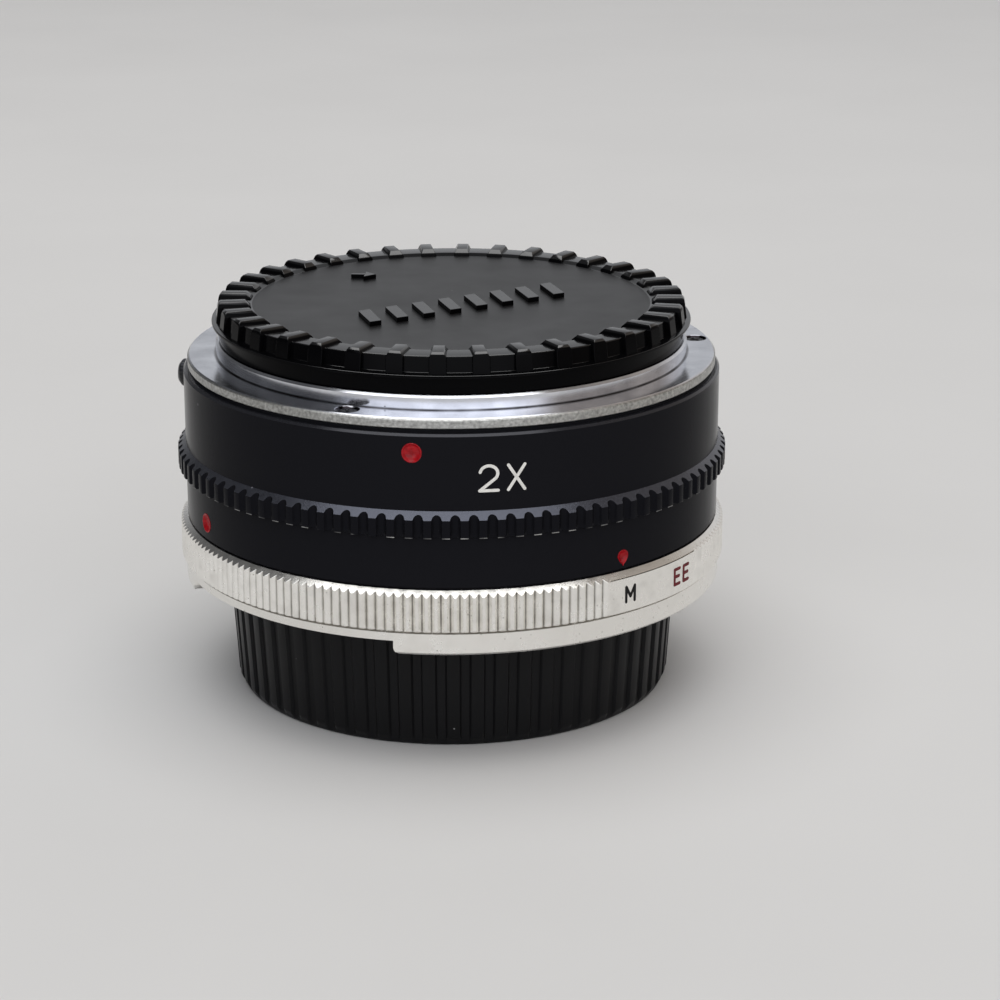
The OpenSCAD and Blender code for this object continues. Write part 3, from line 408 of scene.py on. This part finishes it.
def bevelled(verts, faces, width, segments=2, angle=25):
    # rounds the edges of a small solid
    work = bmesh.new()
    made = [work.verts.new(v) for v in verts]
    for face in faces:
        work.faces.new([made[v] for v in face])
    bmesh.ops.recalc_face_normals(work, faces=work.faces)
    edges = [e for e in work.edges if len(e.link_faces) == 2 and e.calc_face_angle() > math.radians(angle)]
    bmesh.ops.bevel(work, geom=edges, offset=width * mm, segments=segments, affect="EDGES", profile=0.5,
                    clamp_overlap=True)
    work.verts.index_update()
    result = [tuple(v.co) for v in work.verts], [tuple(v.index for v in f.verts) for f in work.faces]
    work.free()
    return result


def turnedCopies(solid, angles):
    copies = []
    for angle in angles:
        turn = Matrix.Rotation(math.radians(angle), 3, "Z")
        copies.append(([tuple(turn @ Vector(v)) for v in solid[0]], solid[1]))
    return joined(*copies)


def plateSolid(outline, low, high):
    # flat plate from a closed outline (x, y) in millimetres
    n = len(outline)
    verts = [(x * mm, y * mm, low * mm) for x, y in outline] + [(x * mm, y * mm, high * mm) for x, y in outline]
    faces = [tuple(range(n - 1, -1, -1)), tuple(range(n, 2 * n))]
    faces += [(i, (i + 1) % n, n + (i + 1) % n, n + i) for i in range(n)]
    return verts, faces


def makePiece(name, solid, finish, body, nodes, sharp=32):
    mesh = bpy.data.meshes.new(name)
    mesh.from_pydata(solid[0], [], solid[1])
    work = bmesh.new()
    work.from_mesh(mesh)
    bmesh.ops.remove_doubles(work, verts=work.verts, dist=1e-7)
    bmesh.ops.recalc_face_normals(work, faces=work.faces)
    work.to_mesh(mesh)
    work.free()
    mesh.shade_smooth()
    mesh.set_sharp_from_angle(angle=math.radians(sharp))
    mesh.materials.append(finish)
    piece = bpy.data.objects.new(name, mesh)
    bpy.context.collection.objects.link(piece)
    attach(piece, body)
    for node in nodes:
        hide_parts(node)
    return piece


# front cap: etched disc, toothed rim, brim, collar and bayonet
frontCap = {"discR": 22.95, "discZ": 45.0, "discUnder": 43.6, "stepR": 23.75, "rimR": 26.4, "rimZ": 45.3,
            "neck": (26.6, 43.5), "brimR": 27.6, "brimZ": (43.1, 43.4), "collarR": 26.8, "collarFoot": 41.15,
            "grooveR": 26.25, "grooveTop": 42.6, "tubeR": (21.9, 23.4), "tubeFoot": 37.95, "segments": 360,
            "teeth": 36, "firstTooth": 6.8, "toothHalf": 0.95, "toothHalfTop": 0.62, "toothOut": 27.15,
            "toothRoot": 25.9, "toothFoot": 43.2, "toothTop": 45.8, "toothEdge": 0.25, "draft": 0.35, "buried": 0.1,
            "toothEnd": (0.75, 0.14, 0.08), "edge": 0.07, "lugR": (23.1, 24.35), "lugZ": (38.25, 39.6)}


def capSection(s):
    # half section (r, z, rounding) from the axis out under the disc and back over it
    bore, tube = s["tubeR"]
    low, high = s["brimZ"]
    return [(0, s["discUnder"], 0), (bore, s["discUnder"], 0.3), (bore, s["tubeFoot"], 0), (tube, s["tubeFoot"], 0),
            (tube, s["grooveTop"], 0), (s["grooveR"], s["grooveTop"], 0), (s["grooveR"], s["collarFoot"], 0),
            (s["collarR"], s["collarFoot"], 0.15), (s["collarR"], low, 0.1), (s["brimR"], low, 0.08),
            (s["brimR"], high, 0.1), (*s["neck"], 0.08), (s["rimR"], s["rimZ"], 0.2), (s["stepR"], s["rimZ"], 0.1),
            (s["discR"], s["discZ"], 0.15), (0, s["discZ"], 0)]


def capTooth(s):
    foot, rim, top, out = s["toothFoot"], s["rimZ"] - s["buried"], s["toothTop"], s["toothOut"]
    drawn, root, under = out - s["draft"], s["toothRoot"], s["discZ"] - s["buried"]
    endTop, endRim, endUnder = [s["discR"] + beyond for beyond in s["toothEnd"]]
    side = [(root, foot), (out, foot), (out - s["draft"] * (rim - foot) / (top - foot), rim),
            (drawn, top - s["toothEdge"]), (drawn - s["toothEdge"], top), (endTop, top), (endRim, rim),
            (endUnder, under), (root, under)]
    verts = []
    for sign in (1, -1):
        for r, z in side:
            lean = max(0.0, (z - rim) / (top - rim))
            half = s["toothHalf"] + (s["toothHalfTop"] - s["toothHalf"]) * lean
            verts.append((r * mm, sign * half * mm, z * mm))
    n = len(side)
    faces = [(i, (i + 1) % n, n + (i + 1) % n, n + i) for i in range(n)]
    for start in (0, n):  # each side as a lower and an upper face, since the upper one leans
        faces.append(tuple(start + i for i in (0, 1, 2, 6, 7, 8)))
        faces.append(tuple(start + i for i in (2, 3, 4, 5, 6)))
    return bevelled(verts, faces, s["edge"])


capBody = turned(capSection(frontCap), frontCap["segments"])
capTeeth = turnedCopies(capTooth(frontCap), [frontCap["firstTooth"] + 360 / frontCap["teeth"] * i
                                             for i in range(frontCap["teeth"])])
capLugs = lugSolids(bayonetLugs, *frontCap["lugR"], *frontCap["lugZ"])
makePiece("frontCapMoulding", joined(capBody, capTeeth, capLugs), capPlastic, "front_cap", ["front_cap"],
          18)

# raised grip bars and a small arrow on the disc
capBars = {"centre": (1.3, -2.8), "turn": 31.5, "count": 8, "pitch": 3.5, "width": 1.5, "length": 5.2, "slant": 16,
           "high": 45.55, "root": 0.2, "edge": 0.08}
capArrow = {"centre": (-10.4, 11.5), "turn": -95, "shaftHalf": 0.32, "headHalf": 1.35, "neck": 0.1,
            "halfLength": 1.5, "high": 45.5}


def capBarSolid(s, index):
    along = (index - (s["count"] - 1) / 2) * s["pitch"]
    halfW, halfL = s["width"] / 2, s["length"] / 2
    lean = math.tan(math.radians(s["slant"]))
    outline = []
    for x, y in ((-halfW, -halfL), (halfW, -halfL), (halfW, halfL), (-halfW, halfL)):
        outline.append((along + x + y * lean, y))
    c, n = math.cos(math.radians(s["turn"])), math.sin(math.radians(s["turn"]))
    placed = [(s["centre"][0] + x * c - y * n, s["centre"][1] + x * n + y * c) for x, y in outline]
    return bevelled(*plateSolid(placed, frontCap["discZ"] - s["root"], s["high"]), s["edge"])


def capArrowSolid(s):
    shaft, head, neck, tip = s["shaftHalf"], s["headHalf"], s["neck"], s["halfLength"]
    outline = [(-shaft, -tip), (shaft, -tip), (shaft, neck), (head, neck), (0, tip), (-head, neck), (-shaft, neck)]
    turn = Matrix.Rotation(math.radians(s["turn"]), 2)
    placed = [tuple(turn @ Vector(p) + Vector(s["centre"])) for p in outline]
    return bevelled(*plateSolid(placed, frontCap["discZ"] - capBars["root"], s["high"]), capBars["edge"])


barSolids = [capBarSolid(capBars, i) for i in range(capBars["count"])]
makePiece("frontCapRelief", joined(*barSolids, capArrowSolid(capArrow)), capPlastic, "front_cap", [],
          18)
print("front cap: made")

# flange screws: domed cross-recess heads that sit a little inside their countersinks
flangeScrew = {"top": 39.5, "head": 1.05, "dome": 0.05, "sunk": 0.14, "shank": 0.8, "length": 4.3, "rimIn": 0.03,
               "rimDepth": 0.3, "coneDepth": 0.62, "armHalf": 0.17, "armLength": 0.72, "recess": 0.25,
               "sideSoft": 0.06, "endSoft": 0.08, "ring": 28.725, "azimuths": (7, 127, 247), "turn": 25,
               "around": 64, "rings": 16}


def clamped(value):
    return min(1.0, max(0.0, value))


def screwSolid(s):
    around, rings = s["around"], s["rings"]
    verts, faces = [], []
    for k in range(rings + 1):
        share = k / rings
        for i in range(around):
            angle = math.tau * i / around
            x, y = s["head"] * share * math.cos(angle), s["head"] * share * math.sin(angle)
            near, far = sorted((abs(x), abs(y)))
            inside = (clamped((s["armHalf"] - near) / s["sideSoft"] + 0.5)
                      * clamped((s["armLength"] - far) / s["endSoft"]))
            z = s["top"] - s["sunk"] - s["dome"] * share ** 2.5 - s["recess"] * inside * (1 - 0.5 * share)
            verts.append((x, y, z))
    under = ((s["head"] - s["rimIn"], s["rimDepth"]), (s["shank"], s["coneDepth"]), (s["shank"], s["length"]))
    for r, down in under:
        z = s["top"] - down
        for i in range(around):
            angle = math.tau * i / around
            verts.append((r * math.cos(angle), r * math.sin(angle), z))
    for k in range(rings + len(under)):
        for i in range(around):
            j = (i + 1) % around
            faces.append((k * around + i, k * around + j, (k + 1) * around + j, (k + 1) * around + i))
    faces.append(tuple((rings + len(under)) * around + i for i in range(around)))
    turn = Matrix.Rotation(math.radians(s["turn"]), 3, "Z")
    placed = []
    for v in verts:
        p = turn @ Vector(v)
        placed.append(((p.x + s["ring"]) * mm, p.y * mm, p.z * mm))
    return placed, faces


makePiece("flangeScrewHeads", turnedCopies(screwSolid(flangeScrew), flangeScrew["azimuths"]), screwSteel, "converter",
          ["front_mount_screws"], 40)
print("flange screws: made")

# grip band: round-bottomed flutes between flat ridges, chamfered at the top
gripBand = {"flutes": 100, "outer": 31.9, "inner": 30.3, "foot": 26.5, "top": 29.4, "ledge": 31.0, "chamfer": 0.8,
            "depth": 0.55, "flat": 0.42, "corner": 0.03, "phase": 0.436, "fluteSteps": 10,
            "footEdge": ((0.12, 0), (0.03, 0.05), (0, 0.14))}  # how far in and up the lower edge is rounded


def gripBandSolid(s):
    angles, sections = [], []
    pitch = 360 / s["flutes"]
    corner = s["corner"]
    stops = [(0.0, corner), (corner, 0), (s["flat"] - corner, 0), (s["flat"], corner)]
    for k in range(1, s["fluteSteps"]):  # flute with a round floor and steep sides
        t = k / s["fluteSteps"]
        stops.append((s["flat"] + (1 - s["flat"]) * t, math.sin(math.pi * t) ** 0.5))
    for i in range(s["flutes"]):
        for where, deep in stops:
            r = s["outer"] - s["depth"] * deep
            topAt = s["top"] - s["chamfer"] * (r - s["ledge"]) / (s["outer"] - s["ledge"])
            angles.append(pitch * (i + s["phase"] + where))
            lowerEdge = [(r - back, s["foot"] + up) for back, up in s["footEdge"]]
            sections.append([(s["inner"], s["foot"]), *lowerEdge, (r, topAt), (s["ledge"], s["top"]),
                             (s["inner"], s["top"])])
    return sweepSections(angles, sections)


makePiece("gripBandFlutes", gripBandSolid(gripBand), gripBlack, "converter", ["grip_band"], 30)
print("grip band: made")

# release knob: turned button with a domed, lightly fluted head on its shank
releaseKnob = {"azimuth": 170, "z": 35.1, "shank": 0.8, "from": 26.85, "under": 31.2, "head": 1.62, "edge": 32.2,
               "tip": 32.7, "rounding": 0.1, "flutes": 24, "fluteDepth": 0.06, "stepsPerFlute": 4}


def releaseKnobSolid(s):
    angles, sections = [], []
    columns = s["flutes"] * s["stepsPerFlute"]
    edge, rounding = s["edge"], s["rounding"]
    for i in range(columns):
        out = s["head"] - s["fluteDepth"] * (1 - math.cos(math.tau * i / s["stepsPerFlute"])) / 2
        angles.append(360 * i / columns)
        sections.append([(0, s["from"]), (s["shank"], s["from"]), (s["shank"], s["under"]),
                         (out - rounding, s["under"]), (out, s["under"] + rounding), (out, edge - rounding),
                         (s["head"] - 0.15, edge + 0.05), (s["head"] * 0.7, edge + 0.33),
                         (s["head"] * 0.35, s["tip"] - 0.04), (0, s["tip"])])
    verts, faces = sweepSections(angles, sections)
    lay = Matrix.Rotation(math.radians(s["azimuth"]), 3, "Z") @ Matrix.Rotation(math.radians(90), 3, "Y")
    return [tuple(lay @ Vector(v) + Vector((0, 0, s["z"] * mm))) for v in verts], faces


makePiece("releaseKnobTurned", releaseKnobSolid(releaseKnob), knobBlack, "release", ["release_knob"], 40)
print("release knob: made")

# mode ring: straight knurl, chamfers and a plain panel
modeRing = {"teeth": 192, "tip": 31.8, "root": 31.4, "bore": 28.85, "foot": 15.8, "top": 20.45, "chamferIn": 31.0,
            "topSlope": 0.75, "footChamfer": 0.2, "knurlFrom": -30.5, "knurlTeeth": 178, "panelR": 31.68,
            "panelSteps": 25, "scribeDepth": 0.25, "scribe": (0.16, 0.13, 0.07, 0.03),
            "knurl": ((0.0, 1.0), (0.06, 0.9), (0.33, 0.12), (0.42, 0.0), (0.58, 0.0), (0.67, 0.12), (0.94, 0.9))}


def modeRingSolid(s):
    angles, sections = [], []
    pitch = 360 / s["teeth"]
    deep = s["tip"] - s["root"]
    columns = []
    for i in range(s["knurlTeeth"]):
        start = s["knurlFrom"] + pitch * i
        columns += [(start + share * pitch, s["tip"] - deep * low, False) for share, low in s["knurl"]]
    del columns[-1]  # the last tooth runs straight into the panel
    panelFrom = s["knurlFrom"] + pitch * s["knurlTeeth"]
    panelTo = 360 + s["knurlFrom"]
    columns += [(panelFrom + (panelTo - panelFrom) * k / s["panelSteps"], s["panelR"], True)
                for k in range(s["panelSteps"])]
    columns.append((panelTo - 0.02, s["panelR"], True))
    for angle, r, onPanel in columns:
        topAt = s["top"] - s["topSlope"] * (r - s["chamferIn"])
        footAt = s["foot"] + max(0.0, r - s["tip"] + s["footChamfer"])
        cut = s["scribeDepth"] if onPanel else 0.0  # fine scribed line along the top of the panel
        line = [(r - inward, topAt - down) for inward, down in zip((0, cut, cut, 0), s["scribe"])]
        angles.append(angle)
        sections.append([(s["bore"], s["foot"]), (min(r, s["tip"] - s["footChamfer"]) - 0.02, s["foot"]),
                         (r, footAt + 0.02), *line, (r - 0.02, topAt + 0.015), (s["chamferIn"], s["top"]),
                         (s["bore"], s["top"])])
    return sweepSections(angles, sections)


makePiece("modeRingKnurl", modeRingSolid(modeRing), ringAluminium, "mode_ring", ["mode_ring"], 20)
print("mode ring: made")

# rear cap: drafted cup with broad flat ribs, bayonet lugs inside
rearCap = {"ribs": 60, "height": 14.15, "foot": 25.1, "rim": 26.0, "rimEdge": 0.1, "inner": 24.6, "innerFrom": 10.4,
           "floor": 1.5, "rib": 0.35, "ribAngle": 3.5, "lugR": (24.9, 23.5), "lugZ": (12.75, 14.15),
           "footEdge": ((0.5, 0), (0.3, 0.04), (0.1, 0.15)),  # how far in and up the foot is rounded
           "ribSide": ((0.25, 0), (0.05, 0.45), (-0.22, 0.92)),  # degrees outside the rib's edge, share of its height
           "climb": (  # height, height where the draft is taken, share of the rib
               (0.45, 0.45, 0), (0.7, 0.7, 0.3), (0.95, 0.95, 0.75), (1.25, 1.25, 1), (13.3, 13.3, 1),
               (13.65, 13.7, 0.85), (13.95, 13.9, 0), (14.08, 14.1, 0))}


def rearCapSolid(s):
    angles, sections = [], []
    pitch = 360 / s["ribs"]
    half = s["ribAngle"] / 2
    draft = s["rim"] - s["foot"]
    stops = [(-half - away, share) for away, share in s["ribSide"]] + [(-half * 0.5, 1), (half * 0.5, 1)]
    stops += [(half + away, share) for away, share in reversed(s["ribSide"])] + [(pitch / 2, 0)]
    footEdge = [(s["foot"] - back, up) for back, up in s["footEdge"]]
    for i in range(s["ribs"]):
        for where, share in stops:
            out = s["rib"] * share
            climb = [(s["foot"] + draft * at / s["height"] + out * part, z) for z, at, part in s["climb"]]
            angles.append(pitch * i + where)
            sections.append([(0, 0), *footEdge, *climb, (s["rim"] - s["rimEdge"], s["height"]),
                             (s["inner"], s["height"]), (s["inner"], s["innerFrom"]),
                             (s["inner"] - draft, s["floor"]), (0, s["floor"])])
    return sweepSections(angles, sections)


rearLugs = lugSolids(bayonetLugs, *rearCap["lugR"], *rearCap["lugZ"])
makePiece("rearCapRibbed", joined(rearCapSolid(rearCap), rearLugs), rearPlastic, "rear_cap", ["rear_cap"],
          40)
print("rear cap: made")

# red marks set into the barrel
redMarks = {"radius": barrelRadius, "lens": (-98.0, 35.85), "body": (-153.6, 22.65), "mode": (-53.0, 21.95),
            "dot": 1.1, "dotSides": 40, "drop": 0.84, "dropUp": 0.1, "dropTip": -0.92, "dropSides": 32,
            "dish": ((1.0, -0.2), (1.0, 0.04), (0.96, 0.08), (0.9, 0.06), (0.82, -0.06), (0.7, -0.18), (0.5, -0.28),
                     (0.25, -0.34), (0.02, -0.35))}  # share of the outline and lift, from the rim to the middle


def wrapped(across, up, lift, azimuth, z, radius):
    # a point beside and over a place on a cylinder, lifted off it
    r = radius + lift
    a = math.radians(azimuth) + across / radius
    return (r * mm * math.cos(a), r * mm * math.sin(a), (z + up) * mm)


def filledMark(outline, azimuth, z, radius, levels):
    # rings of an outline drawn in step by step: levels are (scale, lift)
    n = len(outline)
    verts, faces = [], []
    for scale, lift in levels:
        verts += [wrapped(x * scale, y * scale, lift, azimuth, z, radius) for x, y in outline]
    for k in range(len(levels) - 1):
        for i in range(n):
            j = (i + 1) % n
            faces.append((k * n + i, k * n + j, (k + 1) * n + j, (k + 1) * n + i))
    faces.append(tuple((len(levels) - 1) * n + i for i in range(n)))
    return verts, faces


def dotOutline(s):
    turns = [math.tau * i / s["dotSides"] for i in range(s["dotSides"])]
    return [(s["dot"] * math.cos(t), s["dot"] * math.sin(t)) for t in turns]


def dropOutline(s):
    # round at the top, drawn in to a point below
    turns = [math.tau * k / s["dropSides"] for k in range(s["dropSides"])]
    outline = [(s["drop"] * math.sin(t) * (1 - 0.5 * ((1 - math.cos(t)) / 2) ** 1.5),
                s["dropUp"] + s["drop"] * math.cos(t)) for t in turns]
    outline[s["dropSides"] // 2] = (0, s["dropTip"])
    return outline


for name, node, outline, mark in (("lensIndexDot", "lens_index_dot", dotOutline(redMarks), "lens"),
                                  ("bodyIndexDot", "body_index_dot", dotOutline(redMarks), "body"),
                                  ("modeIndexDrop", "mode_index_mark", dropOutline(redMarks), "mode")):
    makePiece(name, filledMark(outline, *redMarks[mark], redMarks["radius"], redMarks["dish"]), redLacquer,
              "converter", [node], 60)
print("red marks: made")


# engraved characters: strokes in millimetres, each a hair above the last so that crossings stay clean
cutter = {"spacing": 0.2, "layer": 0.002, "endSteps": 8}
manualMark = {"stroke": 0.35, "lift": 0.012, "at": (-51.9, 17.86), "radius": modeRing["panelR"]}
autoMark = {"stroke": 0.38, "lift": 0.012, "at": (-35.9, 17.86), "radius": modeRing["panelR"], "apart": 0.92}
magnification = {"stroke": 0.34, "lift": 0.015, "at": (-80.0, 33.0), "radius": barrelRadius, "apart": 1.5}


def engraved(name, paths, s, finish, body):
    # strokes of an even cutter with round ends, laid on a cylinder and filled with paint
    solids = []
    half = s["stroke"] / 2
    ends = [math.pi * (k / cutter["endSteps"] - 0.5) for k in range(cutter["endSteps"] + 1)]
    for path in paths:
        points = [Vector(p) for p in path]
        for start, end in zip(points, points[1:]):
            along = (end - start).normalized()
            side = Vector((-along.y, along.x))
            count = max(1, math.ceil((end - start).length / cutter["spacing"]))
            middle = [start + (end - start) * k / count for k in range(count + 1)]
            lift = s["lift"] + cutter["layer"] * len(solids)
            flat = [p - side * half for p in middle] + [p + side * half for p in middle]
            faces = [(k, k + 1, count + 2 + k, count + 1 + k) for k in range(count)]
            for centre, sign in ((end, 1), (start, -1)):
                first = len(flat)
                flat += [centre + (along * math.cos(t) + side * math.sin(t)) * half * sign for t in ends]
                faces.append(tuple(range(first, first + len(ends))))
            verts = [wrapped(p.x, p.y, lift, *s["at"], s["radius"]) for p in flat]
            solids.append((verts, faces))
    return makePiece(name, joined(*solids), finish, body, [], 60)


letterE = [[(0.52, 0.88), (-0.5, 0.88), (-0.5, -0.88), (0.52, -0.88)], [(-0.5, 0.02), (0.38, 0.02)]]
settingM = [[(-0.62, -0.86), (-0.62, 0.86), (0.0, -0.3), (0.62, 0.86), (0.62, -0.86)]]
settingEe = [[(x + shift, y) for x, y in path] for shift in (-autoMark["apart"], autoMark["apart"])
             for path in letterE]
engraved("settingMarkManual", settingM, manualMark, blackInk, "mode_ring")
engraved("settingMarkAuto", settingEe, autoMark, darkRedInk, "mode_ring")

bowl = [(0.95 * math.cos(math.radians(a)), 0.55 + 0.85 * math.sin(math.radians(a))) for a in range(170, -41, -15)]
figureTwo = [[(x - magnification["apart"], y) for x, y in bowl + [(-1.0, -1.35), (1.0, -1.35)]]]
figureX = [[(0.6, 1.4), (2.4, -1.35)], [(2.4, 1.4), (0.6, -1.35)]]
engraved("magnificationFigure", figureTwo + figureX, magnification, whiteInk, "converter")
print("characters: made")

# springs: the coils again in spring steel, the lock spring carried by the converter and the others fixed where they
# stand
springs = {"lockTravel": 1.0, "drawn": [  # name, node, body that pulls, post and hook pin in millimetres
    ("stopDownSpringCoil", "stop_down_spring", "stop_down", (7.8, 21.4, 29.7), (0, 21.4, 29.7)),
    ("meterSpringCoil", "meter_spring", "meter", (-7.8, -21.4, 21.1), (0, -21.4, 21.1))]}


def springCoil(name, node):
    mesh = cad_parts[node].data.copy()
    mesh.materials.clear()
    mesh.materials.append(springSteel)
    piece = bpy.data.objects.new(name, mesh)
    bpy.context.collection.objects.link(piece)
    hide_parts(node)
    return piece


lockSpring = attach(springCoil("lockSpringCoil", "lock_spring"), "converter")
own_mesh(lockSpring)
for name, node, body, post, hook in springs["drawn"]:
    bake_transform(springCoil(name, node))
print("springs: made")

# finishes for the solids that stay
nodeFinishes = {
    "barrel": barrelBlack, "front_mount": mountChrome, "bayonet_springs": springSteel, "rear_skirt": skirtAluminium,
    "rear_mount": mountChrome, "rear_mount_screws": plainSteel, "click_spring": springSteel, "lens_cell": innerBlack,
    "cell_screws": plainSteel, "front_element": lensGlass, "second_element": lensGlass, "third_element": lensGlass,
    "rear_element": lensGlass, "front_spacer": innerBlack, "middle_spacer": innerBlack, "rear_spacer": innerBlack,
    "retaining_ring": innerBlack, "light_baffle": innerBlack, "stop_down_ring": leverBrass,
    "stop_down_keeper": innerBlack, "meter_ring": leverBrass, "meter_keeper": innerBlack, "mode_pin": plainSteel,
    "lock_slide": plainSteel, "lock_pin": plainSteel}
for node, finish in nodeFinishes.items():
    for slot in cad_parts[node].material_slots:
        slot.material = finish
print("solids: finished", len(nodeFinishes), "nodes")

# table, soft light overhead, a room with pale walls to the right, behind and at the camera's side, and the camera
stage = {"tableSize": 6, "floor": "#d8d7d5", "faint": "#d0cfcd", "boxPlace": (-0.06, 0.0, 1.1), "boxSize": 1.2,
         "boxPower": 8.5, "room": (0.1, "#f6f7fa"),
         "walls": [  # direction, fade from and to, added light and its tone
             ((0.95, 0.0, 0.2), 0.3, 0.97, 0.34, "#ffeedd"), ((0.2, 0.97, 0.15), 0.65, 0.96, 0.5, "#f4f6fa"),
             ((-0.05, -0.95, 0.28), 0.58, 0.92, 1.65, "#f4f6fc")]}


def tableFinish(tone, faintTone):
    # pale laminate table: matt, with faint clouding and fine specks
    finish, tree, shader, place = startMaterial("paleLaminateTable", {"Roughness": 0.6, "Specular IOR Level": 0.2})
    cloud = noiseBetween(tree, place, 60, 4, 0.0, 0.35)
    specks = dustSpecks(tree, place, 16, 0.7, 0.25)
    share = addNode(tree, "ShaderNodeMath", {"operation": "ADD"}, {0: cloud, 1: specks})
    tree.links.new(mixTones(tree, tone, faintTone, share.outputs[0]), shader.inputs["Base Color"])
    return finish


bpy.ops.mesh.primitive_grid_add(x_subdivisions=8, y_subdivisions=8, size=stage["tableSize"])
table = bpy.context.object
table.name = "tableTop"
table.data.materials.append(tableFinish(stage["floor"], stage["faint"]))

box = bpy.data.lights.new("overheadSoftBox", "AREA")
box.shape = "DISK"
box.size = stage["boxSize"]
box.energy = stage["boxPower"]
boxObject = bpy.data.objects.new("overheadSoftBox", box)
boxObject.location = stage["boxPlace"]
bpy.context.collection.objects.link(boxObject)

world = bpy.data.worlds.new("softRoom")
bpy.context.scene.world = world
world.use_nodes = True
room = world.node_tree
look = addNode(room, "ShaderNodeTexCoord").outputs["Generated"]


def lit(level, tone):
    return tuple(c * level for c in hexLinear(tone)[:3]) + (1.0,)


light = addNode(room, "ShaderNodeRGB").outputs[0]
light.default_value = lit(*stage["room"])
for direction, low, high, added, tone in stage["walls"]:
    facing = addNode(room, "ShaderNodeVectorMath",
                     {"operation": "DOT_PRODUCT", 1: Vector(direction).normalized()}, {0: look})
    wall = addNode(room, "ShaderNodeMapRange", {"interpolation_type": "SMOOTHSTEP", 1: low, 2: high},
                   {0: facing.outputs["Value"]})
    light = addNode(room, "ShaderNodeMix", {"data_type": "RGBA", "blend_type": "ADD", 7: lit(added, tone)},
                    {0: wall.outputs[0], 6: light}).outputs[2]
room.links.new(light, room.nodes["Background"].inputs["Color"])

# camera of the photograph: focal length in pixels of a 1000 pixel picture
view = {"place": (0.0, -0.320645, 0.122702), "pan": 1.003, "tilt": 17.627, "focal": 2852.6, "picture": 1000,
        "sensor": 36}
camera = bpy.data.cameras.new("photoView")
camera.sensor_fit = "HORIZONTAL"
camera.sensor_width = view["sensor"]
camera.lens = view["focal"] * view["sensor"] / view["picture"]
camera.clip_start = 0.01
pan, tilt = math.radians(view["pan"]), math.radians(view["tilt"])
aim = Vector((math.sin(pan) * math.cos(tilt), math.cos(pan) * math.cos(tilt), -math.sin(tilt)))
cameraObject = bpy.data.objects.new("photoView", camera)
cameraObject.location = view["place"]
cameraObject.rotation_euler = aim.to_track_quat("-Z", "Y").to_euler()
bpy.context.collection.objects.link(cameraObject)
bpy.context.scene.camera = cameraObject
bpy.context.scene.view_settings.view_transform = "Standard"
print("stage: ready")
